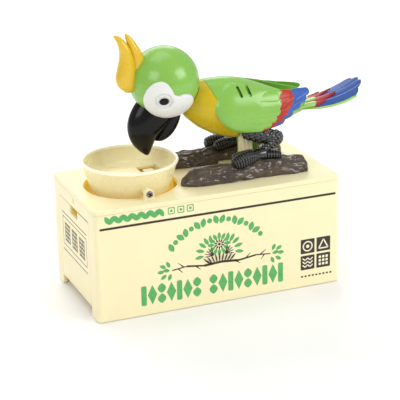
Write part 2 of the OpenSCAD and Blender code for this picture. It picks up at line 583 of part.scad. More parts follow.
module beak_up(g = 0) scale([1, 0.8, 1]) {
  hull() { ball(-30.5, 0, 119.5, 11.3 + g); ball(-33.8, 0, 110.5, 11 + g); ball(-22, 0, 117, 9 + g); }
  hull() { ball(-33.8, 0, 110.5, 11 + g); ball(-33.8, 0, 102.5, 8 + g); }
  hull() { ball(-33.8, 0, 102.5, 8 + g); ball(-32.2, 0, 93.4, 1.9 + g, 20); }
}
module beak_low(g = 0) scale([1, 0.74, 1])
  hull() { ball(-19.4, 0, 113.6, 9.2 + g); ball(-23.2, 0, 105.4, 5.4 + g); }
module upper_beak() color(black) difference() { beak_up(); head_ball(0.02, 48); }
module lower_beak() color(black) difference() { beak_low(); beak_up(0.03); head_ball(0.02, 48); }

box_shell();
top_cover();
base_plate();
partition();
coin_door();
battery_tray();
batteries();
battery_contacts();
battery_door();
base_screws();
bowl();
pivot_screws();
bowl_spring();
trip_lever();
leaf_switch();
motor();
motor_pinion();
gear_frame();
gear_plate();
gear_screws();
axles();
first_gear();
second_gear();
drive_gear();
hip_bracket();
hip_pin();
bracket_screws();
branch();  // near_branch
mirror([0, 1, 0]) branch();  // far_branch
branch_screws();
foot();  // near_foot
mirror([0, 1, 0]) foot();  // far_foot
shank();  // near_shank
mirror([0, 1, 0]) shank();  // far_shank
thigh();  // near_thigh
mirror([0, 1, 0]) thigh();  // far_thigh
leg_pins();
chest_shell();
back_shell();
body_lever();
drive_sector();
sector_screws();
body_screws();
wing();  // near_wing
mirror([0, 1, 0]) wing();  // far_wing
tail();
neck();
near_head();
far_head();
crest();
patch();  // near_eye_patch
mirror([0, 1, 0]) patch();  // far_eye_patch
eyes();
upper_beak();
lower_beak();
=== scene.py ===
"""Looks of the pecking parrot coin bank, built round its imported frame.

Builder functions work in millimetres in the CAD's own axes: the box lies along X,
the bird faces -X, the printed long side faces -Y. place() turns a piece into metres.
"""

import json
import math

import bmesh
import bpy
from mathutils import Matrix, Vector, noise


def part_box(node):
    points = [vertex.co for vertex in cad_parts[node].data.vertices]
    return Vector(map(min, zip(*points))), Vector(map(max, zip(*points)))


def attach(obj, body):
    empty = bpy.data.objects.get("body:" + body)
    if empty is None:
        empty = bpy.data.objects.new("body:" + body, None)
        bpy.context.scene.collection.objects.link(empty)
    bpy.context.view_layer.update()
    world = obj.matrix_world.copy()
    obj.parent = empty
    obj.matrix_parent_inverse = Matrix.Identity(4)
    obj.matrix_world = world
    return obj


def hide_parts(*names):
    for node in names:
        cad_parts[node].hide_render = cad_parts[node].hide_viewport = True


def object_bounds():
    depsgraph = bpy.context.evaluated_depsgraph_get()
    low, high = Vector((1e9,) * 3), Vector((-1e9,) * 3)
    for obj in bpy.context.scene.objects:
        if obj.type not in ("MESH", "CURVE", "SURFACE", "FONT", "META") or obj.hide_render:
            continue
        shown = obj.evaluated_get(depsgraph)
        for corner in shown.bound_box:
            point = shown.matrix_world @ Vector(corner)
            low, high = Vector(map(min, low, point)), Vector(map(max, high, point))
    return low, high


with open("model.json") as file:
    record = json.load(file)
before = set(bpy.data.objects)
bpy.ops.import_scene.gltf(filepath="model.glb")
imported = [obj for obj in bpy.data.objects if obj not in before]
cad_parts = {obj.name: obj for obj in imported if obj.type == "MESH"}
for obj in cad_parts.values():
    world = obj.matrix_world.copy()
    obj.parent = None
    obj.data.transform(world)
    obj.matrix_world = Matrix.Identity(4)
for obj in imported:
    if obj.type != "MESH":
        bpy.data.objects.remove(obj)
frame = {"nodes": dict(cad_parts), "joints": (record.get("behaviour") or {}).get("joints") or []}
cad_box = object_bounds()

MM = 0.001
JOINTS = {j["name"]: j for j in frame["joints"]}


def corners(node):
    """Lowest and highest corner of a CAD node, in millimetres."""
    lo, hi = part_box(node)
    return lo / MM, hi / MM


def pivot(joint):
    """A joint's place, in millimetres."""
    return Vector(JOINTS[joint]["pos_m"]) / MM


HALF_L, HALF_W, LID_Z = corners("box_shell")[1]
TOP_Z = corners("near_branch")[0].z
WALL = 2.6
HIP = pivot("body_tilt")
BOWL = pivot("bowl_tilt")
HEAD_LO, HEAD_HI = corners("near_head")
HEAD_R = (HEAD_HI.x - HEAD_LO.x) / 2
HEAD = Vector(((HEAD_LO.x + HEAD_HI.x) / 2, 0, (HEAD_LO.z + HEAD_HI.z) / 2))
WELD_GAP = 1e-3


# ---------------------------------------------------------------- mesh helpers

def make(name, verts, faces, marks=None):
    """A new object; marks gives each face the number of its material."""
    mesh = bpy.data.meshes.new(name)
    mesh.from_pydata([tuple(v) for v in verts], [], faces)
    if marks:
        mesh.polygons.foreach_set("material_index", marks)
    obj = bpy.data.objects.new(name, mesh)
    bpy.context.scene.collection.objects.link(obj)
    return obj


def edit(obj, work):
    """Runs work on the object's mesh as a bmesh."""
    bm = bmesh.new()
    bm.from_mesh(obj.data)
    work(bm)
    bm.to_mesh(obj.data)
    bm.free()
    return obj


def weld(obj):
    """Joins doubled points and turns all faces outwards."""
    def work(bm):
        bmesh.ops.remove_doubles(bm, verts=bm.verts, dist=WELD_GAP)
        bmesh.ops.recalc_face_normals(bm, faces=bm.faces)
    return edit(obj, work)


def baked(obj):
    """Applies the object's modifiers."""
    depsgraph = bpy.context.evaluated_depsgraph_get()
    old = obj.data
    obj.data = bpy.data.meshes.new_from_object(obj.evaluated_get(depsgraph))
    obj.modifiers.clear()
    bpy.data.meshes.remove(old)
    return obj


def combine(obj, tools, how="DIFFERENCE"):
    """Cuts the tools from the object, or joins or intersects them."""
    for tool in tools:
        modifier = obj.modifiers.new("cut", "BOOLEAN")
        modifier.operation = how
        modifier.solver = "EXACT"
        modifier.object = tool
    baked(obj)
    for tool in tools:
        bpy.data.objects.remove(tool)
    return obj


def bevel(obj, width, segments=3, angle=40):
    """Rounds the edges that are sharper than the angle."""
    modifier = obj.modifiers.new("bevel", "BEVEL")
    modifier.width = width
    modifier.segments = segments
    modifier.limit_method = "ANGLE"
    modifier.angle_limit = math.radians(angle)
    modifier.miter_outer = "MITER_ARC"
    return baked(obj)


def joined(name, parts):
    """Moves the meshes of the parts, with their material numbers, into one object."""
    verts, faces, marks = [], [], []
    for part in parts:
        base = len(verts)
        verts += [v.co.copy() for v in part.data.vertices]
        faces += [[base + i for i in f.vertices] for f in part.data.polygons]
        marks += [f.material_index for f in part.data.polygons]
        bpy.data.objects.remove(part)
    return make(name, verts, faces, marks)


def mirrored(obj, name):
    """A copy on the far side of the bank's middle plane."""
    return make(name, [(v.co.x, -v.co.y, v.co.z) for v in obj.data.vertices],
                [list(reversed(f.vertices)) for f in obj.data.polygons],
                [f.material_index for f in obj.data.polygons])


def place(obj, body, materials, nodes=(), sharp=38, weighted=False):
    """Finishes a piece: metres, materials, shading, and the body it rides on."""
    obj.data.transform(Matrix.Scale(MM, 4))
    for material in materials:
        obj.data.materials.append(material)
    obj.data.polygons.foreach_set("use_smooth", [True] * len(obj.data.polygons))
    obj.data.set_sharp_from_angle(angle=math.radians(sharp))
    if weighted:
        modifier = obj.modifiers.new("normals", "WEIGHTED_NORMAL")
        modifier.keep_sharp = True
        baked(obj)
    obj.data.update()
    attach(obj, body)
    if nodes:
        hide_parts(*nodes)
    return obj


def ring_faces(rows, n, closed=False):
    """Quads between rows of n points that run round."""
    last = rows if closed else rows - 1
    return [(i * n + j, i * n + (j + 1) % n, (i + 1) % rows * n + (j + 1) % n, (i + 1) % rows * n + j)
            for i in range(last) for j in range(n)]


def angles(n):
    """The n even steps of a full turn."""
    return [2 * math.pi * k / n for k in range(n)]


def ring_about(centre, side, up, r, n):
    """n points on a circle about centre, in the plane of side and up."""
    return [centre + side * (r * math.cos(a)) + up * (r * math.sin(a)) for a in angles(n)]


def loft(name, rings):
    """A closed skin over rings of equal counts, with flat ends."""
    n = len(rings[0])
    verts = [p for ring in rings for p in ring]
    faces = ring_faces(len(rings), n)
    faces.append(tuple(reversed(range(n))))
    faces.append(tuple(range((len(rings) - 1) * n, len(rings) * n)))
    return weld(make(name, verts, faces))


def revolve(name, profile, centre, n):
    """Turns a closed (radius, height) outline round an upright axis through centre."""
    verts = [centre + Vector((r * math.cos(a), r * math.sin(a), h)) for a in angles(n) for r, h in profile]
    return weld(make(name, verts, ring_faces(n, len(profile), closed=True)))


def axis_point(axis, u, v, t):
    """A point of a plane outline (u, v) at depth t along an axis."""
    return {"X": (t, u, v), "Y": (u, t, v), "Z": (u, v, t)}[axis]


def prism(name, outline, axis, a, b):
    """A plane outline drawn out along an axis from a to b."""
    rings = [[axis_point(axis, u, v, t) for u, v in outline] for t in (a, b)]
    return loft(name, rings)


def block(name, lo, hi):
    return prism(name, [(lo[0], lo[1]), (hi[0], lo[1]), (hi[0], hi[1]), (lo[0], hi[1])],
                 "Z", lo[2], hi[2])


def circle(u, v, r, n=32, start=0.0, sweep=2 * math.pi):
    """n steps round a circle, or round a part of it with both its ends."""
    count = n if abs(sweep - 2 * math.pi) < 1e-6 else n + 1
    return [(u + r * math.cos(start + sweep * k / n), v + r * math.sin(start + sweep * k / n))
            for k in range(count)]


def outward(side, inner, outer):
    """The two ends of a span on one side of the middle plane, the lower one first."""
    return sorted((side * inner, side * outer))


def rod(name, x, z, y0, y1, r, n=40):
    """A round bar along Y."""
    return prism(name, circle(x, z, r, n), "Y", y0, y1)


def round_rect(lx, ly, r, u=0.0, v=0.0, n=6):
    """A rectangle with round corners, about (u, v)."""
    points = []
    for k, (i, j) in enumerate(((1, 1), (-1, 1), (-1, -1), (1, -1))):
        points += circle(u + i * (lx / 2 - r), v + j * (ly / 2 - r), r, n, k * math.pi / 2, math.pi / 2)
    return points


def span(a, b, c, d, steps):
    """Catmull-Rom steps from b up to c."""
    out = []
    for k in range(steps):
        t = k / steps
        out.append(0.5 * (2 * b + (c - a) * t + (2 * a - 5 * b + 4 * c - d) * t * t
                          + (3 * b - a - 3 * c + d) * t ** 3))
    return out


def spline(points, steps):
    """A smooth run through points of any dimension, steps to each span."""
    points = [Vector(p) for p in points]
    first = points[0] * 2 - points[1]
    last = points[-1] * 2 - points[-2]
    padded = [first] + points + [last]
    out = []
    for a, b, c, d in zip(padded, padded[1:], padded[2:], padded[3:]):
        out += span(a, b, c, d, steps)
    return out + [points[-1]]


def thick_spline(points, steps):
    """A smooth path through (x, y, z, radius) points, and its radii."""
    run = spline(points, steps)
    return [p.to_3d() for p in run], [p.w for p in run]


def heading(path, i):
    """The direction of a path at its point i."""
    return (path[min(i + 1, len(path) - 1)] - path[max(i - 1, 0)]).normalized()


def path_ring(path, i, r, n):
    """n points round the path at its point i."""
    way = heading(path, i)
    side = way.cross(Vector((0, 0, 1))).normalized()
    return ring_about(path[i], side, side.cross(way), r, n)


def closed_spline(points, steps):
    """A smooth closed outline through plane points."""
    points = [Vector(p) for p in points]
    n = len(points)
    out = []
    for i in range(n):
        out += span(*(points[(i + k) % n] for k in (-1, 0, 1, 2)), steps)
    return out


def between(table, x):
    """Straight-line lookup in (x, value) pairs."""
    if x <= table[0][0]:
        return table[0][1]
    for (xa, a), (xb, b) in zip(table, table[1:]):
        if x <= xb:
            return a + (b - a) * (x - xa) / (xb - xa)
    return table[-1][1]


def smooth(t):
    """An even rise from 0 to 1."""
    t = min(1.0, max(0.0, t))
    return t * t * (3 - 2 * t)


def tube(name, path, radius, n):
    """A tube along the path with round ends."""
    total = len(path) - 1
    rings = []
    for i in range(total + 1):
        t = i / total
        end = min(t, 1 - t) * total / 4
        r = radius * math.sqrt(1 - (1 - min(1.0, end + 0.03)) ** 2)
        rings.append(path_ring(path, i, r, n))
    return loft(name, rings)


# ---------------------------------------------------------------- materials

class Shader:
    """A principled shader whose colour, roughness and bump come from noise."""

    def __init__(self, name):
        self.material = bpy.data.materials.new(name)
        self.material.use_nodes = True
        self.tree = self.material.node_tree
        self.shader = self.tree.nodes["Principled BSDF"]
        self.place = self.tree.nodes.new("ShaderNodeTexCoord").outputs["Object"]

    def add(self, kind, **inputs):
        node = self.tree.nodes.new(kind)
        for key, value in inputs.items():
            node.inputs[key.replace("_", " ")].default_value = value
        return node

    def link(self, a, b):
        self.tree.links.new(a, b)

    def set(self, **values):
        """Fixed values on the shader's own sockets."""
        for key, value in values.items():
            self.shader.inputs[key.replace("_", " ")].default_value = value

    def colour(self, source):
        self.link(source, self.shader.inputs["Base Color"])

    def roughness(self, source):
        self.link(source, self.shader.inputs["Roughness"])

    def noise(self, scale, detail=4.0, stretch=(1, 1, 1)):
        mapping = self.add("ShaderNodeMapping", Scale=stretch)
        self.link(self.place, mapping.inputs["Vector"])
        node = self.add("ShaderNodeTexNoise", Scale=scale, Detail=detail, Roughness=0.55)
        self.link(mapping.outputs["Vector"], node.inputs["Vector"])
        return node.outputs["Fac"]

    def ramp(self, source, low, high, start=0.3, end=0.7):
        node = self.add("ShaderNodeValToRGB")
        for stop, position, colour in zip(node.color_ramp.elements, (start, end), (low, high)):
            stop.position = position
            stop.color = (*colour, 1)
        self.link(source, node.inputs["Fac"])
        return node.outputs["Color"]

    def spread(self, source, low, high):
        node = self.add("ShaderNodeMapRange", From_Min=0.3, From_Max=0.7, To_Min=low, To_Max=high)
        self.link(source, node.inputs["Value"])
        return node.outputs["Result"]

    def bump(self, source, strength, distance):
        node = self.add("ShaderNodeBump", Strength=strength, Distance=distance)
        self.link(source, node.inputs["Height"])
        self.link(node.outputs["Normal"], self.shader.inputs["Normal"])


def tint(colour, amount):
    """A colour made darker or lighter."""
    return tuple(min(1.0, c * amount) for c in colour)


def plastic(name, colour, rough=0.3, mottle=0.05, cloud=70, grain=1800, relief=0.05, coat=0.0,
            glow=0.0, shine=0.5, stretch=(1, 1, 1), painted_light=0.0):
    """Moulded plastic: faint clouding of the colour, uneven gloss and a fine skin, and if asked a painted
    glow in its own colour.
    """
    made = Shader(name)
    clouds = made.noise(cloud, 3.0, stretch)
    made.colour(made.ramp(clouds, tint(colour, 1 - mottle), tint(colour, 1 + mottle)))
    made.roughness(made.spread(made.noise(cloud * 5, 5.0, stretch), rough * 0.85, rough * 1.2))
    made.bump(made.noise(grain, 2.0, stretch), relief, 0.00004)
    made.set(Specular_IOR_Level=shine, Coat_Weight=coat, Coat_Roughness=0.12)
    # emission in the plastic's own colour: painted glow, not a lamp
    if painted_light:
        made.set(Emission_Color=(*colour, 1), Emission_Strength=painted_light)
    if glow:
        made.set(Subsurface_Weight=glow, Subsurface_Radius=(1.0, 0.75, 0.35), Subsurface_Scale=0.002)
    return made.material


def metal(name, colour, rough, brush=(1, 1, 1), grain=900):
    """Plated or cut metal: a brushed grain in the gloss and the bump."""
    made = Shader(name)
    made.set(Metallic=1.0)
    made.colour(made.ramp(made.noise(200, 4.0, brush), tint(colour, 0.85), tint(colour, 1.08)))
    made.roughness(made.spread(made.noise(grain, 3.0, brush), rough * 0.7, rough * 1.4))
    made.bump(made.noise(grain, 3.0, brush), 0.15, 0.00003)
    return made.material


CREAM = (0.93, 0.84, 0.53)
GREEN = (0.235, 0.50, 0.075)
LIGHT_GREEN = (0.33, 0.62, 0.12)
YELLOW = (0.76, 0.50, 0.02)
BREAST = (0.60, 0.44, 0.010)
RED = (0.47, 0.035, 0.02)
BLUE = (0.040, 0.118, 0.42)
BARK = (0.082, 0.058, 0.044)
WHITE = (0.80, 0.80, 0.78)
INK_GREEN = (0.10, 0.42, 0.12)
INK_BROWN = (0.035, 0.022, 0.014)

cream = plastic("cream_plastic", CREAM, 0.33, 0.015, 40, relief=0.03, glow=0.12)
cream_bowl = plastic("cream_bowl_plastic", (0.88, 0.79, 0.46), 0.28, 0.012, 40, relief=0.02)
# a lighter, faintly glowing cream for the top of the bowl's rolled rim: painted highlight and painted glow
cream_rim_highlight = plastic("cream_rim_painted_highlight", (0.95, 0.90, 0.66), 0.2, 0.012, 40, relief=0.02, coat=0.3, painted_light=0.06)
# saturated amber that glows on its own, for faces inside the box: painted glow standing for light through the
# thin cream plastic
amber_painted_glow = plastic("amber_painted_glow_inside", (0.82, 0.60, 0.09), 0.4, 0.05, 60, painted_light=0.34)
green = plastic("green_plastic", GREEN, 0.24, 0.03, 55, coat=0.18)
light_green = plastic("light_green_plastic", LIGHT_GREEN, 0.24, 0.03, 55, coat=0.3)
shade_green = plastic("shaded_green_plastic", (0.012, 0.028, 0.008), 0.5, 0.1, 90, shine=0.1)
yellow = plastic("yellow_plastic", YELLOW, 0.27, 0.05, 60, coat=0.25)
breast = plastic("breast_plastic", BREAST, 0.27, 0.05, 60, shine=0.35)
red = plastic("red_paint", RED, 0.32, 0.12, 240, shine=0.35)
blue = plastic("blue_paint", BLUE, 0.32, 0.14, 240, shine=0.35)
tail_red = plastic("tail_red_paint", (0.34, 0.022, 0.025), 0.32, 0.12, 240, shine=0.3)
tail_blue = plastic("tail_blue_paint", (0.022, 0.075, 0.30), 0.32, 0.14, 240, shine=0.3)
# pale blue and pale red for the raised feather shafts: painted highlights along the ridges
ridge_blue_highlight = plastic("blue_ridge_painted_highlight", (0.20, 0.30, 0.66), 0.3, 0.2, 500)
ridge_red_highlight = plastic("red_ridge_painted_highlight", (0.62, 0.16, 0.13), 0.35, 0.2, 500)
black = plastic("black_plastic", (0.005, 0.005, 0.005), 0.15, 0.2, 80, grain=420, relief=0.25,
                shine=0.22, stretch=(1, 1, 0.25))
leg_black = plastic("leg_plastic", (0.009, 0.009, 0.009), 0.2, 0.25, 300, grain=900, relief=0.06,
                    shine=0.7, coat=0.3)
white = plastic("white_plastic", WHITE, 0.3, 0.006, 60, relief=0.02)
natural = plastic("natural_plastic", (0.80, 0.75, 0.62), 0.42, 0.04, 80, glow=0.1)
gear_white = plastic("gear_plastic", (0.86, 0.85, 0.78), 0.35, 0.03, 150, glow=0.08)
gear_red = plastic("red_gear_plastic", (0.62, 0.06, 0.04), 0.35, 0.06, 150)
ink_green = plastic("green_ink", INK_GREEN, 0.5, 0.16, 900)
ink_brown = plastic("brown_ink", INK_BROWN, 0.5, 0.3, 900)
ink_grey = plastic("grey_ink", (0.12, 0.10, 0.09), 0.5, 0.25, 900)
ink_light = plastic("pale_ink", (0.88, 0.84, 0.62), 0.5, 0.05, 900)
jacket = plastic("cell_jacket", (0.03, 0.12, 0.06), 0.22, 0.2, 60, coat=0.6)
screw_steel = metal("screw_steel", (0.30, 0.27, 0.25), 0.32)
plated = metal("plated_steel", (0.62, 0.62, 0.64), 0.28, (1, 8, 1))
# near-black steel for the leg pins, and painted shade in the screw heads' cross recesses
dark_steel_and_recess_shade = metal("dark_steel_and_recess_shade", (0.02, 0.02, 0.02), 0.4)
brass = metal("contact_brass", (0.72, 0.52, 0.22), 0.3, (1, 1, 8))


def bark_material():
    """Glossy brown plastic with soft flowing furrows that catch the light in patches."""
    made = Shader("bark_plastic")
    furrows = made.noise(150, 4.0, (0.3, 1, 1))
    made.colour(made.ramp(furrows, tint(BARK, 0.68), tint(BARK, 1.25), 0.35, 0.68))
    made.roughness(made.spread(made.noise(420, 4.0, (0.4, 1, 1)), 0.10, 0.19))
    made.bump(made.noise(260, 2.0, (0.4, 1, 1)), 0.12, 0.0001)
    made.set(Specular_IOR_Level=0.55)
    return made.material


bark = bark_material()


# ---------------------------------------------------------------- box

CORNER_R = 3.0
ROOM_L, ROOM_W = 2 * (HALF_L - WALL), 2 * (HALF_W - WALL)
HOLE_R = 30.2
EAR_R = 3.1
EAR_IN, EAR_OUT = 32.6, 36.2
POST_R, POST_FOOT = 3.4, 8.6
DOOR_HALF_W, DOOR_LOW, DOOR_HIGH, DOOR_T = 29.7, 6.6, 62.8, 2.2
HINGE_IN, HINGE_Z = 1.5, 8.5
SLOT = (13.2, 44.6, 4.8)      # start, end and half width of the slot the lever swings in
POSTS = [(-77, -35), (-77, 35), (76.5, -35.5), (76.5, 35.5)]


def box_shell():
    shell = prism("box_walls", round_rect(2 * HALF_L, 2 * HALF_W, CORNER_R), "Z", 0, LID_Z - 0.12)
    before, behind = -HALF_L - 1, -HALF_L + WALL + 1
    cuts = [prism("room", round_rect(ROOM_L, ROOM_W, 1.2), "Z", -1, LID_Z + 1),
            block("doorway", (before, -30, -1), (behind, 30, 63)),
            block("peephole", (before, -1.4, 66.2), (behind, 1.4, 69))]
    combine(shell, cuts)
    bevel(shell, 0.45, 3)
    # inner wall faces above the base plate and below the lid take the second material, the amber painted glow
    for face in shell.data.polygons:
        u, v, w = face.center
        inside = abs(u) < HALF_L - WALL + 0.2 and abs(v) < HALF_W - WALL + 0.2
        face.material_index = 1 if inside and 3 < w < LID_Z - 0.3 else 0
    return place(shell, "base", [cream, amber_painted_glow], ["box_shell"], weighted=True)


def top_cover():
    plate = prism("top_plate", round_rect(2 * HALF_L, 2 * HALF_W, CORNER_R, n=8), "Z", LID_Z, TOP_Z)
    combine(plate, [prism("bowl_hole", circle(BOWL.x, BOWL.y, HOLE_R, 128), "Z", LID_Z - 1, TOP_Z + 1),
                    block("lever_slot", (SLOT[0], -SLOT[2], LID_Z - 1), (SLOT[1], SLOT[2], TOP_Z + 1))])
    bevel(plate, 0.8, 4)
    parts = [plate]
    lip = prism("lip", round_rect(ROOM_L - 0.6, ROOM_W - 0.6, 1), "Z", LID_Z - 2, LID_Z + 0.1)
    combine(lip, [prism("lip_room", round_rect(ROOM_L - 4, ROOM_W - 4, 0.5), "Z", LID_Z - 3, LID_Z + 1),
                  block("lip_gap", (-4.7, -60, LID_Z - 3), (-1.3, 60, LID_Z + 1))])
    parts.append(bevel(lip, 0.25, 2))
    for x, y in POSTS:
        post = prism("post", circle(x, y, POST_R), "Z", POST_FOOT, LID_Z + 0.1)
        combine(post, [prism("post_bore", circle(x, y, 1, 24), "Z", 7, 22)])
        parts.append(bevel(post, 0.25, 2))
    parts.append(bevel(block("anchor", (-80, -4, 57), (-77.2, 4, LID_Z + 0.1)), 0.3, 2))
    parts.append(bevel(block("anchor_foot", (-80, -4, 57), (-62, 4, 58.6)), 0.3, 2))
    for side in (-1, 1):
        arm = block("switch_arm", (-12, side * 8 - 1, 52), (-4.6, side * 8 + 1, LID_Z + 0.1))
        parts.append(bevel(arm, 0.3, 2))
        parts.append(bowl_ear(side))
    cover = joined("cover", parts)
    # the wall of the bowl hole takes the second material, the amber painted glow
    for face in cover.data.polygons:
        off = math.hypot(face.center.x - BOWL.x, face.center.y) - HOLE_R
        face.material_index = 1 if abs(off) < 0.25 and abs(face.normal.z) < 0.4 else 0
    return place(cover, "base", [cream, amber_painted_glow], ["top_cover"], weighted=True)


def bowl_ear(side):
    """The round ear on the cover that carries one end of the bowl, flared into its foot."""
    y0, y1 = outward(side, EAR_IN, EAR_OUT)
    outline = circle(BOWL.x, BOWL.z, EAR_R, 20, -0.15, math.pi + 0.3)
    foot = TOP_Z - 0.4
    outline += [(BOWL.x - EAR_R - 0.1, foot + 1.6), (BOWL.x - EAR_R - 0.8, foot + 0.6),
                (BOWL.x - EAR_R - 1.8, foot), (BOWL.x + EAR_R + 1.8, foot),
                (BOWL.x + EAR_R + 0.8, foot + 0.6), (BOWL.x + EAR_R + 0.1, foot + 1.6)]
    ear = prism("ear", outline, "Y", y0, y1)
    combine(ear, [rod("ear_bore", BOWL.x, BOWL.z, -40, 40, 1.06, 24)])
    return bevel(ear, 0.5, 3, 50)


def coin_door():
    x0 = -HALF_L
    edge = [(-DOOR_HALF_W, DOOR_LOW), (DOOR_HALF_W, DOOR_LOW), (DOOR_HALF_W, DOOR_HIGH),
            (-DOOR_HALF_W, DOOR_HIGH)]
    panel = prism("door_panel", edge, "X", x0, x0 + DOOR_T)
    notch = [(-7.5, 64), (-7.5, 58.2), (-6.3, 57), (6.3, 57), (7.5, 58.2), (7.5, 64)]
    combine(panel, [prism("notch", notch, "X", x0 - 1, x0 + 4)])
    bevel(panel, 0.4, 3)
    rib = bevel(block("door_rib", (x0 + 2.1, -20, 52), (x0 + 3, 20, 56)), 0.25, 2)
    barrel = rod("door_hinge", x0 + HINGE_IN, HINGE_Z, -DOOR_HALF_W, DOOR_HALF_W, 1.5, 32)
    pin = rod("door_pin", x0 + HINGE_IN, HINGE_Z, -31.4, 31.4, 0.72, 24)
    door = joined("door", [panel, rib, bevel(barrel, 0.2, 2), bevel(pin, 0.15, 2)])
    return place(door, "coin_door", [cream], ["coin_door"], weighted=True)


# ---------------------------------------------------------------- bowl

RIM_Z = corners("bowl")[1].z
FLOOR_Z, UNDER_Z, SKIRT_Z = 80.0, 78.4, 71.6
BOSS_R = 2.4
HIGHLIGHT_RIM_DEPTH = 2.2             # how far the painted highlight on the rim reaches down


def bowl_outline():
    """Section of the bowl as (radius, height), from the skirt's foot up over the rolled rim."""
    lip_r, lip = 30.4, 1.15
    outer = [(25.6, SKIRT_Z), (26.2, 73.6), (27.6, 78.4), (29.05, 83.4), (30.2, 87.4), (30.6, 88.7)]
    rolled = [(lip_r + lip * math.cos(a), RIM_Z - lip + lip * math.sin(a))
              for a in (math.radians(d) for d in range(-30, 221, 20))]
    inner = [(28.9, 88.0), (28.2, 85.4), (27.4, 82.6), (26.5, 81.2), (25.2, 80.4), (23.6, FLOOR_Z),
             (0, FLOOR_Z)]
    under = [(0, UNDER_Z), (25.2, UNDER_Z), (25.3, 77.6), (24.6, 74), (23.9, SKIRT_Z)]
    return outer + rolled + inner + under


def coin_bowl():
    bowl = revolve("coin_bowl", bowl_outline(), Vector((BOWL.x, 0, 0)), 144)
    slot = block("drop_slot", (BOWL.x + 8, -12, 76), (BOWL.x + 22, 12, 84))
    relief = block("relief", (0, -40, -20), (40, 40, 4))
    lean = Matrix.Rotation(math.radians(-38), 4, "Y")
    relief.data.transform(Matrix.Translation((BOWL.x + 17, 0, 62)) @ lean)
    bosses = []
    for side in (-1, 1):
        bosses.append(rod("boss", BOWL.x, BOWL.z, *outward(side, 26.2, 32.4), BOSS_R))
    combine(bowl, bosses, "UNION")
    combine(bowl, [slot, relief, rod("pivot_bore", BOWL.x, BOWL.z, -34, -26, 1, 24),
                   rod("pivot_bore", BOWL.x, BOWL.z, 26, 34, 1, 24)])
    # faces near the top of the rim take the second material: a painted highlight on the lip
    for face in bowl.data.polygons:
        face.material_index = 1 if face.center.z > RIM_Z - HIGHLIGHT_RIM_DEPTH else 0
    return place(bowl, "bowl", [cream_bowl, cream_rim_highlight], ["bowl"], sharp=32)


def pan_screw(name, head_r, head_h, shank_r, shank_l, half, deep):
    """A cross-head screw that points along +Z, with its head's seat at the origin.
    half and deep are the half length and the depth of its cross."""
    dome = [(0, -head_h)] + [(head_r * math.sin(a), -head_h * (0.35 + 0.65 * math.cos(a)))
                             for a in (math.radians(d) for d in range(15, 91, 15))]
    profile = dome + [(head_r, 0), (shank_r, 0), (shank_r, shank_l - 0.5), (shank_r - 0.4, shank_l),
                      (0, shank_l)]
    screw = revolve(name, profile, Vector((0, 0, 0)), 40)
    wide = 0.24 * half
    combine(screw, [block("cross", (-half, -wide, -head_h - 1), (half, wide, -head_h + deep)),
                    block("cross", (-wide, -half, -head_h - 1), (wide, half, -head_h + deep))])
    # the walls and floor of the cross take the second, darker material: painted shade in the recess
    for face in screw.data.polygons:
        off = math.hypot(face.center.x, face.center.y)
        in_cross = abs(face.normal.z) < 0.2 or face.center.z > -head_h + 0.5
        if off < half + 0.02 and face.center.z < deep and in_cross:
            face.material_index = 1
    return screw


def pivot_screws():
    parts = []
    for side in (-1, 1):
        screw = pan_screw("pivot_screw", head_r=2.1, head_h=1.3, shank_r=1.0, shank_l=8.5,
                          half=1.55, deep=1.1)
        turn = Matrix.Rotation(math.radians(90 * side), 4, "X") @ Matrix.Rotation(math.radians(28), 4, "Z")
        screw.data.transform(Matrix.Translation((BOWL.x, side * 36.3, BOWL.z)) @ turn)
        parts.append(screw)
    return place(joined("bowl_screws", parts), "bowl", [screw_steel, dark_steel_and_recess_shade],
                 ["pivot_screws"])


# ---------------------------------------------------------------- printed decoration

FRONT_Y = -HALF_W
INK = 0.04


class Print:
    """Thin ink shapes gathered by colour; each outline is (along, up) on its face."""

    def __init__(self, axis, face):
        self.axis, self.face, self.shapes = axis, face, {}

    def add(self, ink, outline, layer=1):
        """One shape, that stands layer inks proud of the face."""
        shape = prism("ink", outline, self.axis, self.face, self.face - INK * layer)
        self.shapes.setdefault(ink, []).append(shape)

    def strokes(self, ink, points, width, layer=1):
        """Strokes round a closed outline."""
        for a, b in zip(points, points[1:] + points[:1]):
            self.add(ink, bar(*a, *b, width), layer)


def leaf(u, v, length, width, angle, n=8):
    """A pointed leaf about (u, v)."""
    points = []
    for k in range(2 * n):
        t = k / n if k <= n else 2 - k / n
        side = 1 if k < n else -1
        along = (t - 0.5) * length
        across = side * width / 2 * math.sin(math.pi * t) ** 0.8
        points.append((along, across))
    c, s = math.cos(angle), math.sin(angle)
    return [(u + a * c - b * s, v + a * s + b * c) for a, b in points]


def bar(u0, v0, u1, v1, w0, w1=None):
    """A straight stroke from one width to another."""
    w1 = w0 if w1 is None else w1
    run = Vector((u1 - u0, v1 - v0)).normalized()
    side = Vector((-run.y, run.x))
    a, b = Vector((u0, v0)), Vector((u1, v1))
    return [tuple(p) for p in (a + side * w0 / 2, a - side * w0 / 2, b - side * w1 / 2, b + side * w1 / 2)]


def front_print():
    sheet = Print("Y", FRONT_Y)
    sheet.add("brown", round_rect(162, 1.5, 0.7, 0, 62.0, 3))
    small_row(sheet)
    arch(sheet)
    twig(sheet)
    rosette(sheet)
    frieze(sheet)
    panels(sheet)
    inks = {"green": (ink_green, "green_plastic"), "brown": (ink_brown, "bark_plastic"),
            "pale": (ink_light, "cream_plastic")}
    for ink, shapes in sheet.shapes.items():
        material, slot = inks[ink]
        place(joined("front_print_" + ink, shapes), "base", [material])


ROW_V = 67.5
TWIG_V = 27.6


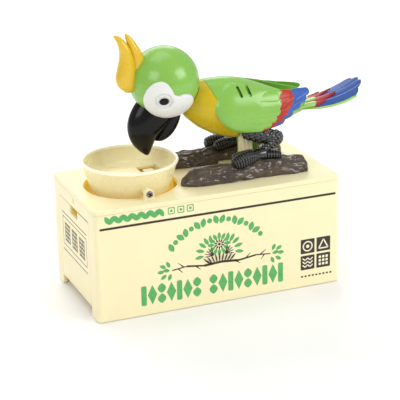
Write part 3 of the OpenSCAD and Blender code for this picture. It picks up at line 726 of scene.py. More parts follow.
def small_row(sheet):
    """A garland of small leaves with three open squares after it."""
    for k in range(13):
        lean = math.radians(60 if k % 2 else 120)
        sheet.add("green", leaf(-75.6 + 2.95 * k, 67.4, 6.4, 3.3, lean), 1 + k % 2)
    for k in range(3):
        u = -33.5 + 6.4 * k
        low, high = ROW_V - 2, ROW_V + 2
        sheet.strokes("green", [(u - 2, low), (u + 2, low), (u + 2, high), (u - 2, high)], 0.6)
        sheet.add("green", circle(u, ROW_V, 0.9, 12))


def arch(sheet):
    """Leaves and blocks along an arc over the twig."""
    centre, radius, count = (-3.5, 17.0), 40.0, 17
    for k in range(count):
        a = math.radians(140 - 100 * k / (count - 1))
        u, v = centre[0] + radius * math.cos(a), centre[1] + radius * math.sin(a)
        if k % 3 == 1:
            sheet.add("green", circle(u, v, 1.7, 20))
        else:
            sheet.add("green", leaf(u, v, 6.4, 3.8, a + (0.35 if k % 3 else -0.35)))


def twig(sheet):
    """A bare twig with leaves at both ends."""
    spine = [(-34, 27.4), (-24, 28.6), (-12, 27.0), (0, 27.8), (12, 26.8), (24, 28.4), (34, 27.6)]
    for a, b in zip(spine, spine[1:]):
        thick = 1.7 - abs(a[0] + b[0]) / 2 * 0.035
        sheet.add("brown", bar(*a, *b, thick + 0.15, thick))
    for u, v, du, dv in ((-26, 28.4, -4, 3.4), (-18, 27.8, 3.5, -3), (-7, 27.4, -3, 2.6), (9, 27.2, 4, -2.6),
                         (17, 27.6, 3, 3), (27, 28.2, 4, 3), (-30, 28, 3, -3.2), (30, 28, -2.5, -3.2)):
        sheet.add("brown", bar(u, v, u + du, v + dv, 0.9, 0.3))
    for side in (-1, 1):
        for du, dv, angle in ((4, 4.2, 1.1), (8, 3.2, 0.5), (9.5, -0.2, 0.0), (7.5, -3.8, -0.6),
                              (3, -4.6, -1.2), (5.4, 0.4, 0.2)):
            lean = angle if side > 0 else math.pi - angle
            sheet.add("green", leaf(side * (33 + du * 0.9), TWIG_V + dv, 4.8, 2.5, lean))


def rosette(sheet):
    """A round flower with two rings of petals, between two spread sprays, on a mound of grass."""
    u, v = -1.5, 40.0
    for a in angles(12):
        sheet.add("green", leaf(u + 5.6 * math.cos(a), v + 5.6 * math.sin(a), 5.2, 2.3, a))
    for k in range(10):
        a = 2 * math.pi * (k + 0.5) / 10
        sheet.add("brown", leaf(u + 2.5 * math.cos(a), v + 2.5 * math.sin(a), 2.4, 1.0, a), 2)
    sheet.add("brown", circle(u, v, 0.9, 20), 3)
    for side in (-1, 1):
        for k in range(5):
            a = math.radians(-8 + 22 * k)
            lean = a if side > 0 else math.pi - a
            reach = 11.6 - 0.5 * k
            at = u + side * (4.6 + reach * math.cos(a) * 0.8), v - 5.4 + reach * math.sin(a)
            sheet.add("green", leaf(*at, 6.2, 2.4, lean), 2 + k % 2)
            sheet.add("brown", bar(u + side * 4.2, v - 7.0, u + side * (4.6 + 5.4 * math.cos(a)),
                                   v - 6.6 + 5.4 * math.sin(a), 0.6, 0.35), 4 + k)
    for k in range(9):
        w = u - 9 + 2.25 * k
        lean = math.radians(90 - (k - 4) * 11)
        sheet.add("brown", leaf(w, 31.2 - abs(k - 4) * 0.35, 6.0, 0.9, lean), 9 + k % 2)


def frieze(sheet):
    """A bold band of lozenges and leaf pairs between upright bars, in two lengths."""
    low, high = 6.6, 20.0
    mid = (low + high) / 2
    for start, kinds in ((-55.2, "blplblp"), (-8.6, "plblplblb")):
        u = start
        for kind in kinds:
            if kind == "p":
                for level in (-1, 1):
                    sheet.add("green", leaf(u + 2.7, mid + level * 3.5, 6.7, 5.6, math.pi / 2))
                step = 6.0
            elif kind == "b":
                sheet.add("green", round_rect(3.6, high - low, 1.0, u + 1.8, mid, 4))
                step = 4.3
            else:
                sheet.add("green", [(u, mid), (u + 3.2, low), (u + 6.4, mid), (u + 3.2, high)])
                step = 6.9
            u += step


def panels(sheet):
    """Four dark squares with plain pale signs: a disc, a triangle, waves and a lattice."""
    size, gap = 10.0, 1.4
    u0, v0 = 61.0, 16.8
    centres = [(u0 + i * (size + gap), v0 + j * (size + gap)) for j in (1, 0) for i in (0, 1)]
    for u, v in centres:
        sheet.add("brown", round_rect(size, size, 0.4, u, v, 2))
    (au, av), (bu, bv), (cu, cv), (du, dv) = centres
    sheet.strokes("pale", circle(au, av, 3.2, 28), 0.9, 2)
    sheet.add("pale", circle(au, av, 1.2, 20), 2)
    sheet.strokes("pale", [(bu - 3.4, bv - 2.8), (bu + 3.4, bv - 2.8), (bu, bv + 3.4)], 0.9, 2)
    for level in (-2.4, 0, 2.4):
        for k in range(4):
            u = cu - 3.6 + 1.8 * k
            rise = 0.8 if k % 2 else -0.8
            sheet.add("pale", bar(u, cv + level - rise, u + 1.8, cv + level + rise, 0.8), 2)
    for i in (-1, 0, 1):
        for j in (-1, 0, 1):
            sheet.add("pale", round_rect(1.7, 1.7, 0.3, du + 2.5 * i, dv + 2.5 * j, 2), 2)
    for k in range(9):
        sheet.add("brown", round_rect(1.6, 1.1, 0.3, 57 + 2.6 * k, 7.2, 2))


def door_print():
    """Framed lattice blocks on the coin door."""
    sheet = Print("X", -HALF_L)
    for level in (53.2, 27.0):
        sheet.add("grey", round_rect(51, 0.6, 0.25, 0, level, 2))
    for v in (50.2, 31.0):
        sheet.add("grey", round_rect(49, 0.5, 0.2, 0, v, 2))
    mid = 40.6
    for u in (-24.4, 24.4):
        sheet.add("grey", round_rect(0.5, 19.2, 0.2, u, mid, 2))
    for k in (-1, 0, 1):
        for i in range(4):
            sheet.add("grey", round_rect(0.9, 13.4, 0.3, 15 * k - 4.5 + 3 * i, mid, 2))
        for j in range(5):
            sheet.add("grey", round_rect(11, 0.9, 0.3, 15 * k, 35 + 2.8 * j, 2))
    place(joined("door_print", sheet.shapes["grey"]), "coin_door", [ink_grey])


# ---------------------------------------------------------------- bird body

class Envelope:
    """Smooth outline round a row of discs (x, z, r) in the XZ plane."""

    def __init__(self, discs):
        points = sorted((x + r * math.cos(a), z + r * math.sin(a)) for x, z, r in discs
                        for a in (math.radians(2 * k) for k in range(180)))
        self.low, self.high = self.chain(points, 1), self.chain(points, -1)
        self.x0, self.x1 = points[0][0], points[-1][0]

    @staticmethod
    def chain(points, sign):
        """The lower (1) or upper (-1) edge of the hull round sorted points."""
        out = []
        for p in points:
            while len(out) > 1:
                (ax, az), (bx, bz) = out[-2:]
                if sign * ((bx - ax) * (p[1] - az) - (bz - az) * (p[0] - ax)) > 0:
                    break
                out.pop()
            out.append(p)
        return out

    def span(self, x):
        """Middle height and half height at x."""
        a, b = between(self.low, x), between(self.high, x)
        return (a + b) / 2, (b - a) / 2


BODY_DISCS = [(5, 122.3, 14.3), (12, 120, 17.2), (20, 117.8, 19.3), (28, 115.8, 19.8), (38, 114.2, 17.6),
              (50, 113, 13.6), (62, 112.4, 9.6), (73, 112.2, 6)]
WING_DISCS = [(22, 114, 23.6), (36, 113.6, 23.8), (50, 114, 21.6), (64, 116, 15.4), (76, 119.5, 8.6)]
BODY_FLAT, WING_FLAT = 0.88, 0.875
BODY = Envelope(BODY_DISCS)
WING = Envelope(WING_DISCS)
SEAM = [(5.5, 152), (6.5, 138), (9, 130), (12.5, 123.6), (17, 117.2), (23, 111.4), (29, 106.5), (31, 100),
        (31, 60)]


def body_form(name, shrink):
    """The whole body as one closed egg, shrunk inwards by a wall."""
    rings, count = [], 46
    for i in range(count + 1):
        t = (1 - math.cos(math.pi * i / count)) / 2
        x = BODY.x0 + shrink + 0.02 + (BODY.x1 - BODY.x0 - 2 * shrink - 0.04) * t
        mid, half = BODY.span(x)
        half = max(half - shrink, 0.15)
        rings.append([(x, BODY_FLAT * half * math.cos(a), mid + half * math.sin(a)) for a in angles(72)])
    return loft(name, rings)


def swing(points, degrees):
    """Plane points turned about the hip."""
    c, s = math.cos(math.radians(degrees)), math.sin(math.radians(degrees))
    return [(HIP.x + (u - HIP.x) * c - (v - HIP.z) * s, HIP.z + (u - HIP.x) * s + (v - HIP.z) * c)
            for u, v in points]


def hull_outline(points):
    """The tight outline round plane points."""
    points = sorted(points)
    low, high = Envelope.chain(points, 1), Envelope.chain(points, -1)
    return low + high[-2:0:-1]


TILTS = (-8, 7, 22)           # the peck, half way and upright
KNEE = Vector((51.6, 0, 95.6))
LEG_IN, LEG_OUT = 4.7, 24     # room for the legs, from the middle plane


HIP_R, KNEE_R = 5.7, 5.3


def thigh_room(side, y0, spare):
    """Space that a thigh sweeps, seen from the tilting body."""
    points = []
    for tilt in TILTS:
        points += swing(circle(HIP.x, HIP.z, HIP_R + spare) + circle(KNEE.x, KNEE.z, KNEE_R + spare), tilt)
    return prism("thigh_room", hull_outline(points), "Y", *outward(side, y0, 9.2))


def leg_cutters():
    """Room in the body for the hip bracket and both thighs at every tilt."""
    tools = []
    for side in (-1, 1):
        tools.append(rod("hip_room", HIP.x, HIP.z, *outward(side, LEG_OUT, LEG_IN), 7))
        cheek = []
        for tilt in TILTS:
            cheek += swing([(HIP.x - 5, HIP.z - 30), (HIP.x + 5, HIP.z - 30), (HIP.x + 5, HIP.z),
                            (HIP.x - 5, HIP.z)], tilt)
        tools.append(prism("cheek_room", hull_outline(cheek), "Y", *outward(side, 10, LEG_IN)))
        tools.append(thigh_room(side, LEG_OUT, 0.9))
    belly = circle(HIP.x, HIP.z, 6.4) + [(HIP.x - 5.6, HIP.z - 12), (HIP.x + 5.6, HIP.z - 12)]
    tools.append(prism("belly_room", hull_outline(belly), "Y", -4.9, 4.9))
    return tools


def ball(name, centre, r, n=48):
    rings = []
    for i in range(1, n):
        a = math.pi * i / n
        rings.append([(centre[0] + r * math.sin(a) * math.cos(b), centre[1] + r * math.cos(a),
                       centre[2] + r * math.sin(a) * math.sin(b)) for b in angles(2 * n)])
    return loft(name, rings)


SCREW_HOLES = [(HIP.x + r * math.cos(math.radians(a)), HIP.z + r * math.sin(math.radians(a)))
               for r, a in ((18, 75), (17, 130))]
BODY_WALL = 2.0
SEAM_GAP = 0.12


def body_shells():
    whole = body_form("body", 0)
    tools = [body_form("body_room", BODY_WALL)] + leg_cutters() + [ball("head_room", HEAD, HEAD_R + 0.35)]
    for x, z in SCREW_HOLES:
        tools += [rod("screw_room", x, z, *outward(side, 14, 30), 2.4) for side in (-1, 1)]
    combine(whole, tools)
    seam = spline(SEAM, 5)
    front = [(p.x - SEAM_GAP, p.y) for p in seam] + [(-60, 60), (-60, 152)]
    back = [(p.x + SEAM_GAP, p.y) for p in seam] + [(120, 60), (120, 152)]
    chest = make("chest", [v.co for v in whole.data.vertices],
                 [list(f.vertices) for f in whole.data.polygons])
    combine(chest, [prism("chest_side", front, "Y", -40, 40)], "INTERSECT")
    combine(whole, [prism("back_side", back, "Y", -40, 40)], "INTERSECT")
    whole.name = "back"
    place(chest, "bird", [breast], ["chest_shell"], sharp=34)
    place(whole, "bird", [green], ["back_shell"], sharp=34)


# ---------------------------------------------------------------- feathers, wings and tail

def wing_skin(x, z, lift):
    """A point over the near wing's surface."""
    mid, half = WING.span(min(max(x, WING.x0 + 0.01), WING.x1 - 0.01))
    reach = max(half * half - (z - mid) ** 2, 4.0)
    return Vector((x, -(WING_FLAT * math.sqrt(reach) + lift), z))


TAIL_LINE = [(64, 109.6), (75, 110.6), (88, 112.4), (100, 114.8), (110, 118), (122, 123.6)]
TAIL_CURVE = [(p.x, p.y) for p in spline(TAIL_LINE, 8)]
TAIL_DROOP = 1.5
TAIL_HALF_W = 13.8


def tail_skin(x, y, lift):
    """A point over the tail: it curves up to its tips and droops towards its sides."""
    droop = TAIL_DROOP * (y / TAIL_HALF_W) ** 2
    return Vector((x, y, between(TAIL_CURVE, x) - droop + lift))


ACROSS = 8                    # faces over a feather's width


def painted(piece, mark, around, top):
    """Paint on the upper faces of a lofted feather; its underside stays the moulded colour."""
    for face in piece.data.polygons:
        face.material_index = mark if face.index % around < top or len(face.vertices) > 4 else 0
    return piece


def vane(name, skin, root, tip, half, bend, end, lift, thick=0.8, tilt=0.0, crown=0.12, blunt=3.0,
         steps=24, mark=0):
    """One broad flat feather laid over a skin, tilted so that it overlaps the next like a shingle.
    half and end are its half widths at root and tip; blunt is how long its rounded tip is."""
    root, tip = Vector(root), Vector(tip)
    run = tip - root
    side = Vector((-run.y, run.x)).normalized()
    rings = []
    for i in range(steps + 1):
        t = 1 - (1 - i / steps) ** 1.5
        spine = root + run * t + side * (bend * 4 * t * (1 - t))
        slope = (run + side * (bend * 4 * (1 - 2 * t))).normalized()
        cross = Vector((-slope.y, slope.x))
        left = (1 - t) * run.length / blunt
        width = (half + (end - half) * t) * math.sqrt(max(0.0, 1 - max(0.0, 1 - left) ** 2))
        width = max(width, 0.08)
        up = lift[0] + (lift[1] - lift[0]) * smooth(t)
        top, low = [], []
        for k in range(ACROSS + 1):
            s = 2 * k / ACROSS - 1
            u, v = spine + cross * (width * s)
            swell = crown * (1 - s * s) + tilt * s
            edge = 0.35 * thick * abs(s) ** 8
            top.append(skin(u, v, up + swell - edge))
            low.append(skin(u, v, up + tilt * s - thick + edge))
        rings.append(top + low[::-1])
    return painted(loft(name, rings), mark, 2 * (ACROSS + 1), ACROSS)


def shaft(skin, points, lift, mark, half=0.26):
    """A thin raised line laid over a skin."""
    path = spline(points, 10)
    rings = []
    for i, p in enumerate(path):
        way = heading(path, i)
        cross = Vector((-way.y, way.x))
        grow = half * min(1.0, 0.25 + 6 * min(i, len(path) - 1 - i) / len(path))
        rings.append([skin(*(p - cross * grow), lift - 0.3), skin(*p, lift + 0.9 * grow),
                      skin(*(p + cross * grow), lift - 0.3)])
    piece = loft("shaft", rings)
    piece.data.polygons.foreach_set("material_index", [mark] * len(piece.data.polygons))
    return piece


WING_EDGE = [(8.2, 122), (9.9, 127.2), (13.4, 131.2), (18, 134.0), (23.5, 134.7), (36, 132), (52, 128.3),
             (66, 124.4), (75.6, 122.3), (77.2, 121.0), (75, 118.2), (69, 114.2), (61.5, 110.3), (54, 107.3),
             (46, 104.4), (38, 102.9), (30, 102.6), (23, 104.2), (16.5, 107.6), (11.5, 113)]
WING_MID = Vector((37, 117.5))
WING_T = 2.2
WING_ROLL = 1.5
VENTS_X, VENT_Z = (25.8, 32.1), 129.8


def wing_row(edge, s, lift, drop):
    """The wing's outline drawn in towards its middle, lowered by drop at the very edge."""
    row = []
    for p in edge:
        q = WING_MID + (p - WING_MID) * s
        near = min(1.0, (p - q).length / WING_ROLL)
        row.append(wing_skin(q.x, q.y, lift + drop * (1 - math.sqrt(1 - (1 - near) ** 2))))
    return row


def wing_plate(name):
    """The wing's own shell, with a rolled edge all round and two vents."""
    edge = closed_spline(WING_EDGE, 6)
    steps = 18
    rings = [wing_row(edge, i / steps, 0, -0.9) for i in range(1, steps + 1)]
    rings += [wing_row(edge, i / steps, -WING_T, 0.7) for i in range(steps, 0, -1)]
    plate = loft(name, rings)
    tools = [thigh_room(-1, 16.8, 0.3)]
    for x in VENTS_X:
        vent = prism("vent", round_rect(6.6, 1.9, 0.8), "Y", -40, -3)
        vent.data.transform(Matrix.Translation((x, 0, VENT_Z)) @ Matrix.Rotation(math.radians(77), 4, "Y"))
        tools.append(vent)
    combine(plate, tools)
    # the vents' side walls take the near-black green: painted shade inside the slots
    for face in plate.data.polygons:
        near = min(math.hypot(face.center.x - x, face.center.z - VENT_Z) for x in VENTS_X)
        if near < 3.6 and abs(face.normal.y) < 0.3:
            face.material_index = 5
    return plate


def wing_feathers():
    """Blue flight feathers, red ones over their roots and the scalloped green covert over those."""
    parts = []

    def lay(rows, mark, **shape):
        for root, tip, half, end, bend in rows:
            parts.append(vane("vane", wing_skin, root, tip, half, bend, end, mark=mark, **shape))

    lay([((46, 106.6), (56.5, 108.4), 3.4, 2.6, -0.3), ((48, 109.6), (63.4, 112.2), 3.4, 3.0, 0.0),
         ((50, 113), (70.2, 116.4), 3.6, 3.2, 0.4), ((50, 117.0), (75.6, 119.2), 4.2, 2.9, 0.8),
         ((50, 121.4), (79.0, 122.2), 4.3, 2.1, 1.1)], 2, lift=(-0.3, 0.3), tilt=-0.25, blunt=2.2)
    lay([((34, 105.0), (45.2, 104.4), 2.0, 1.7, -0.2), ((36, 106.2), (50.0, 106.8), 2.8, 2.4, -0.2),
         ((40, 108.6), (55.2, 110.2), 3.4, 2.8, 0.0), ((42, 112.2), (59.0, 114.0), 3.6, 3.0, 0.3),
         ((44, 116.6), (62.0, 118.0), 3.8, 3.1, 0.5), ((46, 120.6), (64.4, 120.9), 4.0, 3.0, 0.7),
         ((46, 123.8), (64.0, 123.9), 3.4, 2.0, 0.7)], 1, lift=(-0.6, 0.55), tilt=-0.28, blunt=1.6)
    lay([((24, 106.4), (40.6, 104.6), 2.0, 1.8, -0.6), ((20, 109.4), (46.4, 107.0), 2.6, 2.5, -0.9),
         ((18, 113.0), (50.0, 110.8), 3.2, 3.0, -0.8), ((18, 117.0), (52.6, 115.2), 3.6, 3.3, -0.2),
         ((20, 120.8), (53.6, 119.8), 3.4, 3.6, 0.5), ((26, 124.4), (52.6, 124.2), 2.6, 3.4, 0.7)],
        0, lift=(-1.3, 0.95), tilt=-0.34, blunt=2.8, steps=34, thick=0.9)
    # the raised shafts take the pale blue and pale red: painted highlights on the ridges
    for line, lift, mark in (([(66, 119.4), (72, 120.8), (77.4, 122.0)], 0.62, 3),
                             ([(62, 115.6), (67, 116.8), (72.0, 118.0)], 0.5, 3),
                             ([(56, 119.4), (60, 120.2), (65, 121.2)], 1.0, 4),
                             ([(53, 114.6), (57, 115.6), (61.5, 117.2)], 1.0, 4)):
        parts.append(shaft(wing_skin, line, lift, mark))
    return parts


def wings():
    near = joined("wing_near", [wing_plate("plate")] + wing_feathers())
    far = mirrored(near, "wing_far")
    for wing, node in ((near, "near_wing"), (far, "far_wing")):
        place(wing, "bird", [green, red, blue, ridge_blue_highlight, ridge_red_highlight, shade_green],
              [node], sharp=38)


TAIL_PLAN = [(64, 4), (74, 5.5), (80, 8.5), (86, 11.6), (94, 13.4), (102, 14.2), (110, 14.0), (116, 13.2),
             (122, 12.0)]
TAIL_TIPS = [(112.5, 116.0), (118.2, 121.0), (119.5, 121.5), (118.0, 118.7)]
TAIL_EDGES = [-0.93, -0.5, 0.0, 0.5, 0.93]
TAIL_SPEARS = [(90.5, -0.97, -0.45, -0.66, (1.6, 2.3)), (101.2, -0.66, 0.14, -0.15, (1.8, 2.6)),
               (102.0, 0.0, 0.66, 0.55, (1.7, 2.4)), (95.0, 0.50, 0.98, 0.80, (1.6, 2.2))]
TAIL_COVERS = [(0, (87.2, 0.4), 4.4, 0.0, 4.0, (0.6, 2.4)), (-2.2, (84.6, -7.0), 3.2, 0.6, 3.8, (0.5, 2.1)),
               (2.2, (84.6, 7.4), 3.2, -0.6, 3.8, (0.5, 2.1))]


def sector(name, x0, lo, hi, tips, lift, mark, thick, tilt, steps=30, across=ACROSS):
    """A tail feather between two fractions of the tail's width, cut to a slanted blunt tip.
    tips are the x of its tip at its two edges."""
    rings = []
    for i in range(steps + 1):
        t = 1 - (1 - i / steps) ** 1.6
        top, low = [], []
        for k in range(across + 1):
            s = k / across
            reach = tips[0] + (tips[1] - tips[0]) * s
            round_off = 2.4 * abs(2 * s - 1) ** 2.4
            x = x0 + (reach - round_off - x0) * t
            y = between(TAIL_PLAN, x) * (lo + (hi - lo) * s)
            up = lift[0] + (lift[1] - lift[0]) * t + tilt * (2 * s - 1)
            edge = 0.3 * thick * abs(2 * s - 1) ** 8
            end = 0.4 * max(0.0, (t - 0.95) / 0.05) ** 2
            top.append(tail_skin(x, y, up + 0.18 * (1 - (2 * s - 1) ** 2) - edge - end))
            low.append(tail_skin(x, y, up - thick + edge))
        rings.append(top + low[::-1])
    return painted(loft(name, rings), mark, 2 * (across + 1), across)


def spear(x0, x1, lo, hi, point, lift):
    """A pointed red feather over the roots of the blue ones."""
    rings, steps = [], 22
    for i in range(steps + 1):
        t = i / steps
        x = x0 + (x1 - x0) * t
        open_half = (hi - lo) / 2 * min(1.0, (1 - t) / 0.62)
        mid = (lo + hi) / 2 + (point - (lo + hi) / 2) * smooth(t)
        wide = between(TAIL_PLAN, x)
        top, low = [], []
        for k in range(ACROSS + 1):
            s = 2 * k / ACROSS - 1
            y = wide * (mid + max(open_half, 0.012) * s)
            up = lift[0] + (lift[1] - lift[0]) * t + 0.5 * (1 - s * s)
            top.append(tail_skin(x, y, up))
            low.append(tail_skin(x, y, up - 1.3 - 0.5 * (1 - s * s)))
        rings.append(top + low[::-1])
    return painted(loft("spear", rings), 1, 2 * (ACROSS + 1), 2 * (ACROSS + 1))


def tail():
    """A green base whose rim shows round four blue feathers and the red ones over their roots."""
    parts = [sector("tail_base", 64, -1, 1, (113.4, 113.4), (0.3, 0.3), 0, 1.7, 0.0, 44, 22)]
    for k, tips in enumerate(TAIL_TIPS):
        lo, hi = TAIL_EDGES[k:k + 2]
        parts.append(sector("tail_blue", 76, lo - 0.02, hi + 0.02, tips, (0.9, 1.25), 2, 1.1, 0.4))
        if k:
            # the raised shafts take the pale blue: painted highlights on the ridges
            path = [(x, lo * between(TAIL_PLAN, x)) for x in (90, 100, 108, tips[0] - 0.5)]
            parts.append(shaft(tail_skin, path, 1.62, 3, 0.2))
    parts += [spear(79, *row) for row in TAIL_SPEARS]
    for y0, *shape in TAIL_COVERS:
        parts.append(vane("cover", tail_skin, (64, y0), *shape, thick=1.2, crown=0.5, blunt=2.5))
    return place(joined("tail_fan", parts), "bird",
                 [light_green, tail_red, tail_blue, ridge_blue_highlight], ["tail"], sharp=38)


# ---------------------------------------------------------------- head

HEAD_WALL, HEAD_SEAM = 2.0, 0.07


def half_ball(r, rows):
    """(radius, depth) of rows from a ball's pole to the seam beside its middle plane."""
    last = math.acos(HEAD_SEAM / r)
    return [(r * math.sin(last * i / rows), r * math.cos(last * i / rows)) for i in range(1, rows + 1)]


def head_half(name, side):
    """Half of the head's shell, open at the middle plane."""
    rows = half_ball(HEAD_R, 30) + half_ball(HEAD_R - HEAD_WALL, 30)[::-1]
    return loft(name, [[(HEAD.x + r * math.cos(b), side * y, HEAD.z + r * math.sin(b)) for b in angles(112)]
                       for r, y in rows])


NECK_LEAN = math.radians(121.1)
NECK_WAY = Vector((math.sin(NECK_LEAN), 0, math.cos(NECK_LEAN)))


def neck_rod(name, r, start, end):
    """A round bar along the neck's line, start and end measured from the head's middle."""
    side = Vector((0, 1, 0))
    up = NECK_WAY.cross(side)
    return loft(name, [ring_about(HEAD + NECK_WAY * d, side, up, r, 48) for d in (start, end)])


def head():
    for name, side, node in (("head_near", -1, "near_head"), ("head_far", 1, "far_head")):
        half = head_half(name, side)
        combine(half, [neck_rod("neck_hole", 6.05, 10, 36)])
        place(half, "bird", [green], [node], sharp=40)


def neck():
    parts = [bevel(neck_rod("neck_tube", 6, 16, 35), 0.3, 2), bevel(neck_rod("collar", 8, 34, 36), 0.4, 2),
             bevel(neck_rod("collar", 8, 15, 17), 0.4, 2)]
    return place(joined("neck_rod", parts), "bird", [green], ["neck"], weighted=True)


EYE_WAY = Vector((-0.343, -0.878, -0.335)).normalized()
PATCH_MID = Vector((-0.18, -0.86, -0.47)).normalized()
PATCH_EDGE = [(-0.444, -0.865, 0.235), (-0.62, -0.78, 0.17), (-0.755, -0.66, 0.0), (-0.812, -0.526, -0.254),
              (-0.74, -0.42, -0.52), (-0.56, -0.38, -0.73), (-0.25, -0.36, -0.90), (0.10, -0.37, -0.92),
              (0.40, -0.44, -0.80), (0.569, -0.624, -0.536), (0.555, -0.745, -0.37), (0.44, -0.865, -0.235),
              (0.221, -0.958, -0.18), (0.06, -0.975, -0.20), (-0.064, -0.986, -0.151), (-0.13, -0.985, -0.02),
              (-0.22, -0.955, 0.12), (-0.32, -0.915, 0.21)]


PATCH_RAISED, PATCH_ROLL = 1.5, 0.055      # height in mm, width of the rolled edge in radians
EYE_RING, EYE_DISH = 5.0, 4.1              # radii of the groove and of the dished part
EYE_LONG, EYE_HIGH, EYE_LEAN = 3.05, 2.45, math.radians(-12)


def eye_patch(name, side):
    """The white cheek patch: a raised plate on the head with rolled edges and a dished eye ring."""
    across = PATCH_MID.cross(Vector((0, 0, 1))).normalized()
    up = across.cross(PATCH_MID)
    flat = []
    for way in PATCH_EDGE:
        way = Vector(way).normalized()
        reach = math.acos(max(-1, min(1, way.dot(PATCH_MID))))
        flat.append(Vector((way.dot(across), way.dot(up))).normalized() * reach)
    edge = closed_spline(flat, 7)
    steps = 34

    def point(p, r):
        reach = p.length
        spin = p.normalized() if reach > 1e-6 else Vector((1, 0))
        way = PATCH_MID * math.cos(reach) + (across * spin.x + up * spin.y) * math.sin(reach)
        out = HEAD + way * r
        return Vector((out.x, -side * out.y, out.z)), way

    rings = []
    for i in range(1, steps + 1):
        s = i / steps
        ring = []
        for p in edge:
            q = p * s
            near = min(1.0, (p.length - q.length) / PATCH_ROLL)
            _, way = point(q, HEAD_R)
            off = way.angle(EYE_WAY) * HEAD_R
            groove = 1.25 * math.exp(-((off - EYE_RING) / 0.55) ** 2) + 0.95 * smooth((EYE_DISH - off) / 0.9)
            r = HEAD_R + PATCH_RAISED * math.sqrt(1 - (1 - near) ** 2) - groove
            ring.append(point(q, max(r, HEAD_R - 0.3))[0])
        rings.append(ring)
    rings.append([point(p * 0.985, HEAD_R - 0.6)[0] for p in edge])
    rings.append([point(p * 0.03, HEAD_R - 0.6)[0] for p in edge])
    return loft(name, rings)


def eye(name, side):
    """A black oval pupil with a domed face and a thin rim."""
    across = EYE_WAY.cross(Vector((0, 0, 1))).normalized()
    up = across.cross(EYE_WAY)
    c, s = math.cos(EYE_LEAN), math.sin(EYE_LEAN)
    rows = [(1.0, 0.2), (1.0, 1.15), (0.94, 1.45), (0.82, 1.5), (0.76, 1.35), (0.6, 1.55), (0.4, 1.72),
            (0.2, 1.82), (0.02, 1.84)]
    rings = []
    for grow, height in rows:
        ring = []
        for a in angles(48):
            u, v = EYE_LONG * grow * math.cos(a), EYE_HIGH * grow * math.sin(a)
            u, v = u * c - v * s, u * s + v * c
            p = HEAD + EYE_WAY * (HEAD_R - 0.35 + height) + across * u + up * v
            ring.append((p.x, -side * p.y, p.z))
        rings.append(ring)
    return loft(name, rings)


def face():
    for name, side, node in (("patch_near", -1, "near_eye_patch"), ("patch_far", 1, "far_eye_patch")):
        place(eye_patch(name, side), "bird", [white], [node], sharp=50)
    pupils = joined("pupils", [eye("pupil", -1), eye("pupil", 1)])
    place(pupils, "bird", [black], ["eyes"], sharp=50)


def horn(name, stations, n=40, steps=5):
    """A curved form through stations of (outer point, inner point, half width), seen in the XZ plane."""
    rings = []
    for outer, inner, wide in zip(spline([o for o, _, _ in stations], steps),
                                  spline([i for _, i, _ in stations], steps),
                                  spline([(w, 0) for _, _, w in stations], steps)):
        mid, half = (outer + inner) / 2, (outer - inner) / 2
        ring = []
        for a in angles(n):
            p = mid + half * math.cos(a)
            ring.append((p.x, max(wide.x, 0.05) * math.sin(a), p.y))
        rings.append(ring)
    return loft(name, rings)


FRONT_PLUME = [((-46.4, 134.6), (-38.0, 135.4), 3.0), ((-50.6, 138.6), (-36.5, 139.6), 5.4),
               ((-52.0, 144.0), (-37.0, 145.0), 6.0), ((-50.6, 150.6), (-38.6, 151.0), 5.7),
               ((-49.2, 157.0), (-40.2, 157.4), 5.2), ((-49.2, 162.0), (-42.4, 163.4), 4.6),
               ((-50.4, 166.8), (-45.4, 168.0), 3.4), ((-52.0, 169.8), (-49.2, 171.2), 1.9),
               ((-52.7, 171.6), (-52.3, 172.0), 0.5)]
BACK_PLUME = [((-42.0, 141.0), (-33.0, 141.0), 4.2), ((-42.0, 147.5), (-30.5, 149.0), 4.8),
              ((-41.4, 153.5), (-32.6, 155.4), 4.8), ((-42.0, 159.4), (-35.0, 160.8), 4.2),
              ((-43.4, 164.8), (-38.4, 166.4), 3.2), ((-44.8, 169.2), (-41.6, 170.6), 1.9),
              ((-45.2, 172.0), (-44.6, 172.6), 0.5)]
UPPER_BEAK = [((-34.5, 131.0), (-13.0, 121.0), 8.6), ((-38.2, 127.6), (-12.0, 116.2), 9.3),
              ((-41.6, 123.0), (-15.6, 111.8), 9.3), ((-44.2, 117.4), (-20.8, 107.6), 8.9),
              ((-45.4, 111.6), (-24.6, 104.6), 8.1), ((-44.8, 105.6), (-27.0, 101.8), 6.8),
              ((-42.4, 99.8), (-28.4, 99.0), 5.1), ((-38.6, 95.2), (-29.8, 95.8), 3.4),
              ((-35.0, 92.2), (-31.2, 92.8), 1.8), ((-33.2, 91.3), (-32.0, 91.5), 0.5)]
LOWER_BEAK = [((-23.0, 119.0), (-9.4, 118.6), 6.4), ((-23.4, 113.6), (-9.9, 114.2), 6.9),
              ((-24.6, 108.4), (-12.6, 108.2), 6.5), ((-26.4, 104.0), (-16.6, 103.2), 5.2),
              ((-27.4, 101.4), (-21.6, 100.3), 3.4), ((-27.2, 100.4), (-25.4, 99.8), 1.0)]


def crest():
    parts = [horn("plume", FRONT_PLUME), horn("plume", BACK_PLUME)]
    return place(joined("crest_plumes", parts), "bird", [yellow], ["crest"], sharp=60)


def beak():
    """The hooked upper beak and the lower one that tucks in behind it."""
    place(horn("beak_upper", UPPER_BEAK, 56, 7), "bird", [black], ["upper_beak"], sharp=60)
    place(horn("beak_lower", LOWER_BEAK, 48, 7), "bird", [black], ["lower_beak"], sharp=60)


# ---------------------------------------------------------------- branches and legs

